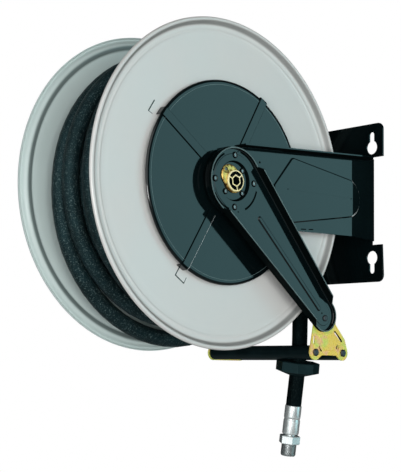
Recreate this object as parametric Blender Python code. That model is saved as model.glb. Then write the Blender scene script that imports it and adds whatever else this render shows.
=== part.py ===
"""Wall-mounted spring-rewind hose reel with a swinging roller guide.

The wall is the plane y = 0 and the reel stands off it towards -Y.
The reel's axle runs along X, and the drum's middle plane is x = 0.
+X is the side of the arms and of the water inlet.
Most pieces are placed under an empty on the axle, so their y and z are
measured from the axle.
"""

import math

import bmesh
import bpy
from mathutils import Matrix, Vector

MM = 0.001

# Reel
AXLE_FROM_WALL = 348 * MM
RIM_R = 270 * MM
DISC_X = 89 * MM
DISC_SHEET = 1.4 * MM
# (rise above the flat, inset from the edge), in mm
RIM_SHAPE = ((0, 24), (0.5, 22.5), (0.5, 20.5), (0, 19), (0, 14.5), (0.9, 12),
             (3.0, 9.8), (6.2, 8.2), (8.4, 6.6), (9.1, 4.4), (8.6, 2.0),
             (7.0, 0.6), (4.6, 0.1))
PAN_R = 166.3 * MM
PAN_FOOT_R = 158 * MM
PAN_FACE_X = 102 * MM
PAN_SHEET = 1.5 * MM
PAN_ROUND = 4 * MM
DRUM_R = 125 * MM
DRUM_SHEET = 1.3 * MM
GAP = 0.3 * MM

# Hose
HOSE_R = 13.35 * MM
LAYER_R = [DRUM_R + HOSE_R * (1 + 2.03 * n) + GAP for n in range(4)]
RUN_X = 73 * MM
MOUTH_X = -70 * MM
TOP_TURNS_X = (30 * MM, -22 * MM)
LOOSE_TURN_X = -49.5 * MM
LOOSE_TURN_R = 235.8 * MM
LOOSE_TURN_SHIFT = (15.4 * MM, -13 * MM)

# Fixed arm and wall plate
ARM_WEB_X = 112.5 * MM
BRACKET_SHEET = 3 * MM
PLATE_HALF_W = 133 * MM
PLATE_HALF_H = 142 * MM
KEYHOLE_X = 107.2 * MM
KEYHOLE_Z = 99 * MM
ARM_FLANGE = 24 * MM
ARM_TOP_AT_WALL = 77 * MM
ARM_BOTTOM_AT_WALL = -69.5 * MM
HEAD_R = 54.5 * MM

# Swing arm
SWING_X = 117.3 * MM
SWING_SHEET = 2 * MM
SWING_LENGTH = 292.5 * MM
SWING_TIP_R = 27.5 * MM
SWING_FLANGE = 16 * MM
SWING_LIP = 5 * MM
SWING_FLANGE_U = (14 * MM, 20 * MM, 275 * MM, 290 * MM)
SWING_ANGLE = -45.0
HEAD_HOLE_R = 31.3 * MM
PIVOT_SCREW_R = 42 * MM
HUB_SCREW_R = 25.7 * MM

# Roller guide, measured from the axle
ROLLER_Y = (190.7 * MM, 257.7 * MM)
ROLLER_Z = -269 * MM
ROLLER_R = 12 * MM
ROLLER_X = (-136.1 * MM, 113.9 * MM)
SHAFT_R = 5 * MM
GUIDE_X = 117 * MM
GUIDE_SHEET = 2.5 * MM

# Latch inside the drum
PAWL_PIVOT = (72 * MM, 0.0)
RATCHET_R = 52 * MM

DISC_STEPS = 40
DRUM_STEPS = 32
HUB_STEPS = 24
SMALL_STEPS = 10


# ---------------------------------------------------------------- tools

def clear_scene():
    """Remove every object of the open file."""
    for obj in list(bpy.data.objects):
        bpy.data.objects.remove(obj, do_unlink=True)


def make_material(name, color, roughness, metallic):
    """Principled material with a plain colour."""
    mat = bpy.data.materials.new(name)
    mat.use_nodes = True
    shader = mat.node_tree.nodes["Principled BSDF"]
    shader.inputs["Base Color"].default_value = (*color, 1.0)
    shader.inputs["Roughness"].default_value = roughness
    shader.inputs["Metallic"].default_value = metallic
    mat.diffuse_color = (*color, 1.0)
    return mat


def make_empty(name, location, turn_x=0.0, parent=None):
    """Empty that carries pieces; turn_x in degrees about X."""
    empty = bpy.data.objects.new(name, None)
    bpy.context.scene.collection.objects.link(empty)
    empty.location = location
    empty.rotation_euler = (math.radians(turn_x), 0.0, 0.0)
    empty.parent = parent
    return empty


def make_object(name, bm, material, parent, location=(0, 0, 0), turn_x=0.0):
    """Turn a bmesh into a named object under a parent."""
    bmesh.ops.recalc_face_normals(bm, faces=bm.faces)
    mesh = bpy.data.meshes.new(name)
    bm.to_mesh(mesh)
    bm.free()
    mesh.materials.append(material)
    mesh.shade_smooth()
    mesh.set_sharp_from_angle(angle=math.radians(35))
    obj = bpy.data.objects.new(name, mesh)
    bpy.context.scene.collection.objects.link(obj)
    obj.parent = parent
    obj.location = location
    obj.rotation_euler = (math.radians(turn_x), 0.0, 0.0)
    return obj


def boolean(obj, other, operation):
    """Join or cut obj with a helper object that the build leaves out."""
    other.hide_render = True
    other.display_type = "WIRE"
    modifier = obj.modifiers.new(other.name, "BOOLEAN")
    modifier.operation = operation
    modifier.solver = "EXACT"
    modifier.object = other


def polar(radius, degrees):
    """Point at an angle from +Y towards +Z."""
    angle = math.radians(degrees)
    return (radius * math.cos(angle), radius * math.sin(angle))


def arc(cy, cz, radius, start, end, steps):
    """Points of an arc from start to end degrees, both ends included."""
    points = []
    for i in range(steps + 1):
        y, z = polar(radius, start + (end - start) * i / steps)
        points.append((cy + y, cz + z))
    return points


def fillet(corners, radius, steps=4):
    """Round every corner of a closed outline with the same radius."""
    points = []
    count = len(corners)
    for i in range(count):
        here = Vector(corners[i])
        before = (Vector(corners[i - 1]) - here).normalized()
        after = (Vector(corners[(i + 1) % count]) - here).normalized()
        half = before.angle(after) / 2
        reach = radius / math.tan(half)
        start = here + before * reach
        end = here + after * reach
        centre = here + (before + after).normalized() * radius / math.sin(half)
        from_v = start - centre
        swing = from_v.angle_signed(end - centre)
        for k in range(steps + 1):
            turned = Matrix.Rotation(-swing * k / steps, 2) @ from_v
            points.append(tuple(centre + turned))
    return points


def tapered_capsule(r0, r1, length, steps=10):
    """Outline of two circles joined by tangents, the first at the origin."""
    lean = math.degrees(math.asin((r0 - r1) / length))
    points = arc(0, 0, r0, 90 - lean, 270 + lean, 2 * steps)
    points += arc(length, 0, r1, -90 + lean, 90 - lean, steps)
    return points


def plate(outline, x0, x1):
    """Solid between x0 and x1 from an outline of (y, z) points."""
    bm = bmesh.new()
    face = bm.faces.new([bm.verts.new((x0, y, z)) for y, z in outline])
    extruded = bmesh.ops.extrude_face_region(bm, geom=[face])
    moved = [g for g in extruded["geom"] if isinstance(g, bmesh.types.BMVert)]
    bmesh.ops.translate(bm, verts=moved, vec=(x1 - x0, 0, 0))
    return bm


def flat_plate(outline, y0, y1):
    """Solid between y0 and y1 from an outline of (x, z) points."""
    bm = bmesh.new()
    face = bm.faces.new([bm.verts.new((x, y0, z)) for x, z in outline])
    extruded = bmesh.ops.extrude_face_region(bm, geom=[face])
    moved = [g for g in extruded["geom"] if isinstance(g, bmesh.types.BMVert)]
    bmesh.ops.translate(bm, verts=moved, vec=(0, y1 - y0, 0))
    return bm


def turned(profile, steps):
    """Solid of revolution about X from (x, r) points.

    A profile that starts and ends on the axis is left open there.
    """
    bm = bmesh.new()
    verts = [bm.verts.new((x, r, 0)) for x, r in profile]
    edges = [bm.edges.new(pair) for pair in zip(verts, verts[1:])]
    if profile[0][1] > 0:
        edges.append(bm.edges.new((verts[-1], verts[0])))
    bmesh.ops.spin(bm, geom=verts + edges, cent=(0, 0, 0), axis=(1, 0, 0),
                   angle=math.tau, steps=steps, use_merge=True)
    bmesh.ops.remove_doubles(bm, verts=bm.verts, dist=1e-6)
    return bm


def tube(x0, x1, inner, outer, steps):
    """Plain ring or bush about X."""
    return turned([(x0, inner), (x0, outer), (x1, outer), (x1, inner)], steps)


def ring(x, radius, tube_r, foot_r=None):
    """One round turn of hose about X, its middle at the given radius.

    With a foot radius its lower half runs down, to join the layer below.
    """
    if foot_r is None:
        section = [(x + a, radius + b) for a, b in arc(0, 0, tube_r, 0, 324, 9)]
    else:
        section = [(x + a, radius + b) for a, b in arc(0, 0, tube_r, 0, 180, 6)]
        section += [(x - tube_r * 0.6, foot_r), (x + tube_r * 0.6, foot_r)]
    return turned(section, DRUM_STEPS)


def rod(x0, x1, radius, steps=24):
    """Plain cylinder along X."""
    return turned([(x0, 0), (x0, radius), (x1, radius), (x1, 0)], steps)


def sheet_profile(points, thickness):
    """Closed profile of a pressed sheet from the line of its outer face."""
    inner = []
    for i, here in enumerate(points):
        before = Vector(points[max(i - 1, 0)])
        after = Vector(points[min(i + 1, len(points) - 1)])
        along = (after - before).normalized()
        inner.append((here[0] - along.y * thickness,
                      here[1] + along.x * thickness))
    return list(points) + inner[::-1]


def mirrored_x(profile):
    """The same profile on the other side of x = 0."""
    return [(-x, r) for x, r in profile]


# ------------------------------------------------------------ wall bracket

def wall_plate_outline():
    """Plate with two ears beside the place where the arm folds out."""
    ear_low, ear_high = -76 * MM, 81 * MM
    relief = ARM_WEB_X - BRACKET_SHEET
    w, h, r = PLATE_HALF_W, PLATE_HALF_H, 12 * MM
    points = [(w, ear_low), (relief, ear_low), (relief, ear_high), (w, ear_high)]
    points += arc(w - r, h - r, r, 0, 90, 5)
    points += arc(-w + r, h - r, r, 90, 180, 5)
    points += arc(-w + r, -h + r, r, 180, 270, 5)
    points += arc(w - r, -h + r, r, 270, 360, 5)
    return points


def keyhole_outline(x, z, up):
    """Round hole with a slot above it (up = 1) or below it (up = -1)."""
    big, small, reach = 12.3 * MM, 5.6 * MM, 22.5 * MM
    opening = math.degrees(math.asin(small / big))
    points = arc(0, 0, big, 90 + opening, 450 - opening, 14)
    points += arc(0, reach, small, 0, 180, 6)
    return [(x + a, z + up * b) for a, b in points]


def arm_outline():
    """Fixed arm seen along X, from the wall to its round head."""
    wall = AXLE_FROM_WALL
    points = [(wall, ARM_BOTTOM_AT_WALL), (wall - 60 * MM, -65.5 * MM),
              (157 * MM, -67.5 * MM)]
    points += arc(0, 0, HEAD_R, 265.7, 92.8, 18)
    points += [(322 * MM, 71.5 * MM), (wall, ARM_TOP_AT_WALL)]
    return points


def arm_panel_outline(inset):
    """Tapered pressed panel of the fixed arm, round at the wall end."""
    nose = arc(276 * MM, 0, 31 * MM - inset, -78, 78, 8)
    back = [(143 * MM, 52 * MM - inset), (136 * MM + inset, 50 * MM - inset),
            (106 * MM + inset, 16 * MM), (106 * MM + inset, -16 * MM),
            (136 * MM + inset, -50 * MM + inset), (143 * MM, -52 * MM + inset)]
    return nose + back


def tapered_plate(outline_a, x0, outline_b, x1):
    """Solid between two outlines with the same number of points."""
    bm = bmesh.new()
    loop_a = [bm.verts.new((x0, y, z)) for y, z in outline_a]
    loop_b = [bm.verts.new((x1, y, z)) for y, z in outline_b]
    bm.faces.new(loop_a)
    bm.faces.new(loop_b)
    count = len(loop_a)
    for i in range(count):
        k = (i + 1) % count
        bm.faces.new((loop_a[i], loop_a[k], loop_b[k], loop_b[i]))
    return bm


def build_wall_bracket(root, reel, steel):
    """One folded sheet: wall plate, ears, fixed arm and its top flange."""
    front = -BRACKET_SHEET
    bracket = make_object("wall_bracket", flat_plate(wall_plate_outline(), 0, front),
                          steel, root)
    web_back = ARM_WEB_X - BRACKET_SHEET
    web = make_object("arm_web", plate(arm_outline(), web_back, ARM_WEB_X),
                      steel, reel)
    boolean(bracket, web, "UNION")
    slope = (71.5 - 55) / (322 - 8)
    start, end = 8 * MM, AXLE_FROM_WALL - 1 * MM
    top_a = 57.6 * MM
    top_b = top_a + slope * (end - start)
    sheet = 2.4 * MM
    strip = [(start, top_a), (end, top_b), (end, top_b - sheet), (start, top_a - sheet)]
    flange = make_object("arm_flange", plate(strip, web_back, ARM_WEB_X + ARM_FLANGE),
                         steel, reel)
    boolean(bracket, flange, "UNION")
    corner = bmesh.new()
    low, high = 40 * MM, 80 * MM
    wide = ARM_WEB_X + ARM_FLANGE + 2 * MM
    wall = AXLE_FROM_WALL
    triangle = [(wide, wall - 34 * MM), (wide, wall + 5 * MM),
                (ARM_WEB_X + 0.4 * MM, wall + 5 * MM),
                (ARM_WEB_X + 0.4 * MM, wall - 6 * MM)]
    face = corner.faces.new([corner.verts.new((x, y, low)) for x, y in triangle])
    extruded = bmesh.ops.extrude_face_region(corner, geom=[face])
    moved = [g for g in extruded["geom"] if isinstance(g, bmesh.types.BMVert)]
    bmesh.ops.translate(corner, verts=moved, vec=(0, 0, high - low))
    cutter = make_object("flange_corner", corner, steel, reel)
    boolean(bracket, cutter, "DIFFERENCE")

    raised = 2 * MM
    panel = tapered_plate(arm_panel_outline(0), ARM_WEB_X - 1 * MM,
                          arm_panel_outline(2 * MM), ARM_WEB_X + raised)
    panel = make_object("arm_panel", panel, steel, reel)
    boolean(bracket, panel, "UNION")
    hollow = tapered_plate(arm_panel_outline(2.4 * MM), web_back - 1 * MM,
                           arm_panel_outline(4.4 * MM), web_back + raised)
    hollow = make_object("arm_panel_back", hollow, steel, reel)
    boolean(bracket, hollow, "DIFFERENCE")

    number = 0
    for x in (-KEYHOLE_X, KEYHOLE_X):
        for z, up in ((KEYHOLE_Z, 1), (-KEYHOLE_Z, -1)):
            number += 1
            hole = flat_plate(keyhole_outline(x, z, up), 5 * MM, -8 * MM)
            cutter = make_object(f"keyhole_{number}", hole, steel, root)
            boolean(bracket, cutter, "DIFFERENCE")
    bore = make_object("arm_bore", rod(web_back - 5 * MM, ARM_WEB_X + 5 * MM,
                                       19 * MM, HUB_STEPS), steel, reel)
    boolean(bracket, bore, "DIFFERENCE")
    drill_ring(bracket, "arm_screw_hole", HUB_SCREW_R, 45, web_back - 2 * MM,
               ARM_WEB_X + 2 * MM, 2.8 * MM, reel, steel)
    return bracket


def drill_ring(obj, name, radius, first, x0, x1, hole_r, parent, material):
    """Four holes at 90 degrees round the axle."""
    for i in range(4):
        y, z = polar(radius, first + 90 * i)
        pin = make_object(f"{name}_{i + 1}", rod(x0, x1, hole_r, SMALL_STEPS),
                          material, parent, (0, y, z))
        boolean(obj, pin, "DIFFERENCE")


# ------------------------------------------------------------- hub, fixed

def screw_bm(head_r, head_h, shank_r, shank_len):
    """Round-headed screw along X, its head's seat at x = 0."""
    bm = turned([(-shank_len, 0), (-shank_len, shank_r), (0, shank_r), (0, head_r),
                 (head_h * 0.55, head_r), (head_h, head_r * 0.7), (head_h, 0)],
                SMALL_STEPS)
    return bm


def build_hub(reel, mats):
    """Fixed stub axle, hub plate, inlet swivel, plug and their screws."""
    flange_x = ARM_WEB_X - BRACKET_SHEET - GAP
    axle = [(flange_x, 19 * MM), (flange_x, 33 * MM), (104.5 * MM, 33 * MM),
            (104.5 * MM, 24 * MM), (18 * MM, 24 * MM), (18 * MM, 14 * MM),
            (97.7 * MM, 14 * MM), (97.7 * MM, 19 * MM)]
    axle = make_object("axle", turned(axle, HUB_STEPS), mats["zinc"], reel)
    drill_ring(axle, "axle_screw_hole", HUB_SCREW_R, 45, 104 * MM, 112 * MM,
               2.8 * MM, reel, mats["zinc"])

    back, front = ARM_WEB_X + GAP, SWING_X - GAP
    plate_profile = [(back, 19 * MM), (front, 19 * MM), (front, 36 * MM),
                     (114.6 * MM, 36 * MM), (114.6 * MM, 30.7 * MM), (back, 30.7 * MM)]
    hub_plate = make_object("hub_plate", turned(plate_profile, HUB_STEPS),
                            mats["black"], reel)
    drill_ring(hub_plate, "plate_screw_hole", HUB_SCREW_R, 45, back - 2 * MM,
               front + 2 * MM, 2.8 * MM, reel, mats["black"])

    build_swivel(reel, mats)
    for i in range(4):
        y, z = polar(HUB_SCREW_R, 45 + 90 * i)
        on_lug = i == 1
        seat = 120.6 * MM if on_lug else SWING_X
        bm = screw_bm(4.2 * MM, 2.6 * MM, 2.5 * MM, seat - 105 * MM)
        make_object(f"hub_screw_{i + 1}", bm, mats["bolt"], reel, (seat, y, z))
    make_object("axle_clip", tube(26 * MM, 27.6 * MM, 24.3 * MM, 29 * MM, HUB_STEPS),
                mats["bolt"], reel)
    build_spring(reel, mats["spring"])
    build_ratchet_wheel(reel, mats["zinc"])


def build_swivel(reel, mats):
    """Brass inlet with its lug, its seal and the transport plug."""
    face = 118.5 * MM
    body = [(98.3 * MM, 18.7 * MM), (SWING_X, 18.7 * MM), (SWING_X, 17.5 * MM),
            (face, 17.5 * MM), (face, 12 * MM), (108.3 * MM, 12 * MM),
            (108.3 * MM, 13.9 * MM), (104 * MM, 13.9 * MM), (104 * MM, 16.2 * MM),
            (100 * MM, 16.2 * MM), (100 * MM, 13.9 * MM), (98.3 * MM, 13.9 * MM)]
    swivel = make_object("swivel_body", turned(body, HUB_STEPS), mats["brass"], reel)
    angle = 135
    lug_y, lug_z = polar(25.5 * MM, angle)
    outline = tapered_capsule(18.6 * MM, 5.2 * MM, 25.5 * MM, 6)
    lug = make_object("swivel_lug", plate(outline, SWING_X, 120.3 * MM),
                      mats["brass"], reel, turn_x=angle)
    boolean(swivel, lug, "UNION")
    for name, radius, y, z in (("lug_hole", 2.8 * MM, lug_y, lug_z),
                               ("port_face", 12 * MM, 0, 0)):
        cutter = make_object(name, rod(112 * MM, 125 * MM, radius, HUB_STEPS),
                             mats["brass"], reel, (0, y, z))
        boolean(swivel, cutter, "DIFFERENCE")
    make_object("inlet_seal", tube(100.6 * MM, 103.4 * MM, 13.8 * MM, 15.9 * MM, 20),
                mats["rubber"], reel)
    build_plug(reel, mats["plug"])


def build_plug(reel, material):
    """Plastic plug: ring, hexagon and three webs over a hollow thread."""
    seat, front = 120.6 * MM, 123.4 * MM
    profile = [(112 * MM, 0), (112 * MM, 11.6 * MM), (seat, 11.6 * MM),
               (seat, 17.3 * MM), (front - 0.6 * MM, 17.3 * MM),
               (front, 16.7 * MM), (front, 0)]
    plug = make_object("inlet_plug", turned(profile, HUB_STEPS), material, reel)
    hexagon = arc(0, 0, 6.6 * MM, 30, 330, 5)
    cutter = make_object("plug_hexagon", plate(hexagon, 114 * MM, front + 1 * MM),
                         material, reel)
    boolean(plug, cutter, "DIFFERENCE")
    web = 9
    for i, start in enumerate((38, 158, 278)):
        outer = arc(0, 0, 15.2 * MM, start + web / 2, start + 120 - web / 2, 8)
        inner = arc(0, 0, 8.7 * MM, start + 120 - web, start + web, 5)
        cutter = make_object(f"plug_window_{i + 1}",
                             plate(outer + inner, 121.6 * MM, front + 1 * MM),
                             material, reel)
        boolean(plug, cutter, "DIFFERENCE")


def build_spring(reel, material):
    """Flat spiral rewind spring between the axle and its case."""
    turns, per_turn = 6.0, 15
    inner_r, outer_r, strip = 25 * MM, 108 * MM, 1.2 * MM
    x0, x1 = 46 * MM, 84 * MM
    bm = bmesh.new()
    rings = []
    count = int(turns * per_turn)
    for i in range(count + 1):
        angle = 360 * turns * i / count
        radius = inner_r + (outer_r - inner_r) * i / count
        corners = []
        for r, x in ((radius, x0), (radius, x1), (radius + strip, x1),
                     (radius + strip, x0)):
            y, z = polar(r, angle)
            corners.append(bm.verts.new((x, y, z)))
        rings.append(corners)
    for a, b in zip(rings, rings[1:]):
        for k in range(4):
            m = (k + 1) % 4
            bm.faces.new((a[k], a[m], b[m], b[k]))
    bm.faces.new(rings[0])
    bm.faces.new(rings[-1])
    make_object("main_spring", bm, material, reel)


def build_ratchet_wheel(reel, material):
    """Toothed wheel keyed on the axle inside the drum."""
    teeth = 8
    outline = []
    for i in range(teeth):
        start = 360 / teeth * i
        outline += arc(0, 0, RATCHET_R, start, start + 26, 3)
        outline.append(polar(RATCHET_R - 9 * MM, start + 27))
        outline.append(polar(RATCHET_R - 9 * MM, start + 34))
    wheel = make_object("ratchet_wheel", plate(outline, 20 * MM, 25 * MM), material, reel)
    bore = make_object("ratchet_bore", rod(15 * MM, 30 * MM, 24.3 * MM, HUB_STEPS),
                       material, reel)
    boolean(wheel, bore, "DIFFERENCE")


# ------------------------------------------------------------------- drum

def disc_profile(hole_r):
    """Pressed disc: flat face, a shallow bead and a raised, rolled rim."""
    line = [(DISC_X, hole_r)]
    line += [(DISC_X + rise * MM, RIM_R - inset * MM) for rise, inset in RIM_SHAPE]
    return sheet_profile(line, DISC_SHEET)


def build_discs(drum, mats):
    """The two discs that hold the hose on the drum."""
    near = make_object("near_disc", turned(disc_profile(60 * MM), DISC_STEPS),
                       mats["paint"], drum)
    far = make_object("far_disc", turned(mirrored_x(disc_profile(70 * MM)), DISC_STEPS),
                      mats["paint"], drum)
    return near, far


def build_drum(drum, mats):
    """Shell, spring case, spring cover with straps, bushes and far cover."""
    build_discs(drum, mats)
    half = DISC_X - DISC_SHEET - GAP
    shell = make_object("drum_shell",
                        tube(-half, half, DRUM_R - DRUM_SHEET, DRUM_R, DRUM_STEPS),
                        mats["zinc"], drum)
    mouth = make_object("hose_mouth", rod(0, 40 * MM, 14.6 * MM, 16), mats["zinc"], drum)
    mouth.rotation_euler = (0, math.radians(-90), 0)
    mouth.location = (MOUTH_X, 0, DRUM_R - 20 * MM)
    boolean(shell, mouth, "DIFFERENCE")

    case = [(half, 111.5 * MM), (40 * MM, 111.5 * MM), (40 * MM, 36.2 * MM),
            (29 * MM, 36.2 * MM), (29 * MM, 34.2 * MM), (42 * MM, 34.2 * MM),
            (42 * MM, 110 * MM), (half, 110 * MM)]
    make_object("spring_case", turned(case, DRUM_STEPS), mats["zinc"], drum)
    build_spring_cover(drum, mats["black"])
    for i, angle in enumerate((119, 36, -58.5, -146)):
        build_strap(i + 1, angle, drum, mats["black"])
    make_object("bush_near", tube(86 * MM, 101.5 * MM, 24.4 * MM, 33.9 * MM, HUB_STEPS),
                mats["plastic"], drum)
    make_object("bush_far", tube(29 * MM, 42 * MM, 24.4 * MM, 33.9 * MM, HUB_STEPS),
                mats["plastic"], drum)
    build_spindle(drum, mats)
    build_far_cover(drum, mats)


def build_spring_cover(drum, material):
    """Pressed pan over the middle of the near disc, with a rolled lip."""
    seat, face, r, t = DISC_X + GAP, PAN_FACE_X, PAN_R, PAN_SHEET
    lip_x = face - PAN_ROUND - 1.4 * MM
    hole_r, neck_x = 34.2 * MM, 86 * MM
    rounding = [(face - PAN_ROUND + a, r - PAN_ROUND + b)
                for a, b in arc(0, 0, PAN_ROUND, 90, 0, 3)]
    profile = [(seat, PAN_FOOT_R), (lip_x, PAN_FOOT_R), (lip_x, r - 0.8 * MM)]
    profile += rounding
    profile += [(face, hole_r), (neck_x, hole_r), (neck_x, hole_r + 2 * MM),
                (face - t, hole_r + 2 * MM), (face - t, PAN_FOOT_R - t),
                (seat, PAN_FOOT_R - t)]
    make_object("spring_cover", turned(profile, DISC_STEPS), material, drum)


def build_strap(number, angle, drum, material):
    """Radial strap over the pan, bent down its side to the disc."""
    inner_r, outer_r, half, t = 62 * MM, PAN_R + GAP, 7.5 * MM, 1.5 * MM
    face = PAN_FACE_X + GAP
    cut = 1.6 * MM
    side = [(face, inner_r), (face + t, inner_r), (face + t, outer_r - cut),
            (face - cut, outer_r + t), (DISC_X + GAP, outer_r + t),
            (DISC_X + GAP, outer_r), (face - cut, outer_r), (face, outer_r - cut)]
    bm = bmesh.new()
    line = [bm.verts.new((x, r, -half)) for x, r in side]
    extruded = bmesh.ops.extrude_face_region(bm, geom=[bm.faces.new(line)])
    moved = [g for g in extruded["geom"] if isinstance(g, bmesh.types.BMVert)]
    bmesh.ops.translate(bm, verts=moved, vec=(0, 0, 2 * half))
    make_object(f"cover_strap_{number}", bm, material, drum, turn_x=180 - angle)


def build_spindle(drum, mats):
    """Water spindle that turns with the drum, and the hose's inner end."""
    spindle = make_object("spindle", rod(-84 * MM, 107.6 * MM, 13.4 * MM, 20),
                          mats["brass"], drum)
    outlet = make_object("spindle_outlet", rod(0, 100 * MM, 9 * MM, 16),
                         mats["brass"], drum)
    outlet.rotation_euler = (0, math.radians(-90), 0)
    outlet.location = (MOUTH_X, 0, 0)
    boolean(spindle, outlet, "UNION")
    bore = make_object("spindle_bore", rod(-76 * MM, 112 * MM, 9.5 * MM, 20),
                       mats["brass"], drum)
    boolean(spindle, bore, "DIFFERENCE")
    side_bore = make_object("outlet_bore", rod(0, 110 * MM, 6.5 * MM, 16),
                            mats["brass"], drum)
    side_bore.rotation_euler = (0, math.radians(-90), 0)
    side_bore.location = (MOUTH_X, 0, 0)
    boolean(spindle, side_bore, "DIFFERENCE")
    hose_end = make_object("hose_inlet", tube(60 * MM, DRUM_R - 2.5 * MM, 9.4 * MM,
                                              HOSE_R, 18),
                           mats["rubber"], drum, (MOUTH_X, 0, 0))
    hose_end.rotation_euler = (0, math.radians(-90), 0)
    clamp = make_object("inlet_clamp", tube(66 * MM, 76 * MM, HOSE_R + GAP, 15 * MM, 18),
                        mats["bolt"], drum, (MOUTH_X, 0, 0))
    clamp.rotation_euler = (0, math.radians(-90), 0)


def build_far_cover(drum, mats):
    """Pressed lid over the middle of the far disc, with four screws."""
    seat, face, t = DISC_X + GAP, 95 * MM, 1.5 * MM
    profile = [(face, 0), (face, 68 * MM), (seat + t, 74 * MM), (seat + t, 92 * MM),
               (seat, 92 * MM), (seat, 73 * MM), (face - t, 67 * MM), (face - t, 0)]
    cover = make_object("far_cover", turned(mirrored_x(profile), DRUM_STEPS),
                        mats["black"], drum)
    far = bpy.data.objects["far_disc"]
    drill_ring(cover, "far_hole", 83 * MM, 45, -95 * MM, -86 * MM, 2.8 * MM,
               drum, mats["black"])
    drill_ring(far, "far_disc_hole", 83 * MM, 45, -95 * MM, -86 * MM, 2.8 * MM,
               drum, mats["paint"])
    for i in range(4):
        y, z = polar(83 * MM, 45 + 90 * i)
        screw = make_object(f"far_screw_{i + 1}",
                            screw_bm(4.5 * MM, 2.4 * MM, 2.5 * MM, 8 * MM),
                            mats["bolt"], drum, (-(seat + t + GAP), y, z))
        screw.rotation_euler = (0, math.radians(180), 0)


def build_winding(drum, material):
    """Outer shape of the wound hose.

    Three full layers leave a free groove for the last turn. Two turns of a
    fourth layer lie on them, and a third hangs loose, lower than the rest.
    """
    half = DISC_X - DISC_SHEET - GAP
    outer = LAYER_R[2]
    groove_x = RUN_X - HOSE_R - 2.2 * MM
    floor_r = LAYER_R[1] + HOSE_R - GAP
    profile = [(-half, DRUM_R + GAP), (-half, outer + HOSE_R * 0.5)]
    turns = 5
    pitch = (groove_x + half) / turns
    for n in range(turns):
        middle = -half + pitch * (n + 0.5)
        for side in (-1, 1):
            profile.append((middle + side * pitch * 0.2, outer + HOSE_R * 0.96))
        profile.append((-half + pitch * (n + 1), outer + HOSE_R * 0.45))
    profile += [(groove_x, floor_r), (half, floor_r), (half, DRUM_R + GAP)]
    winding = make_object("hose_winding", turned(profile, DRUM_STEPS), material, drum)
    for i, x in enumerate(TOP_TURNS_X):
        section = ring(x, LAYER_R[3], HOSE_R, LAYER_R[2])
        turn = make_object(f"top_turn_{i + 1}", section, material, drum, turn_x=4)
        boolean(winding, turn, "UNION")
    y, z = LOOSE_TURN_SHIFT
    turn = make_object("loose_turn", ring(LOOSE_TURN_X, LOOSE_TURN_R, HOSE_R),
                       material, drum, (0, y, z))
    boolean(winding, turn, "UNION")


def build_pawl(drum, mats):
    """Latch pawl on a pin of the spring case, just clear of the teeth."""
    y, z = PAWL_PIVOT
    make_object("pawl_pin", rod(18.5 * MM, 39.7 * MM, 3 * MM, SMALL_STEPS),
                mats["bolt"], drum, (0, y, z))
    empty = make_empty("pawl_axis", (0, y, z), parent=drum)
    outline = fillet([(7 * MM, -7 * MM), (7 * MM, 7 * MM), (-10 * MM, 6 * MM),
                      (-19 * MM, 26 * MM), (-22 * MM, 30 * MM), (-23 * MM, 24 * MM),
                      (-14 * MM, 0), (-7 * MM, -7 * MM)], 1.2 * MM, 2)
    pawl = make_object("latch_pawl", plate(outline, 20 * MM, 25 * MM),
                       mats["plastic"], empty)
    bore = make_object("pawl_bore", rod(15 * MM, 30 * MM, 3.4 * MM, SMALL_STEPS),
                       mats["plastic"], empty)
    boolean(pawl, bore, "DIFFERENCE")


# -------------------------------------------------------------- swing arm

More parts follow.
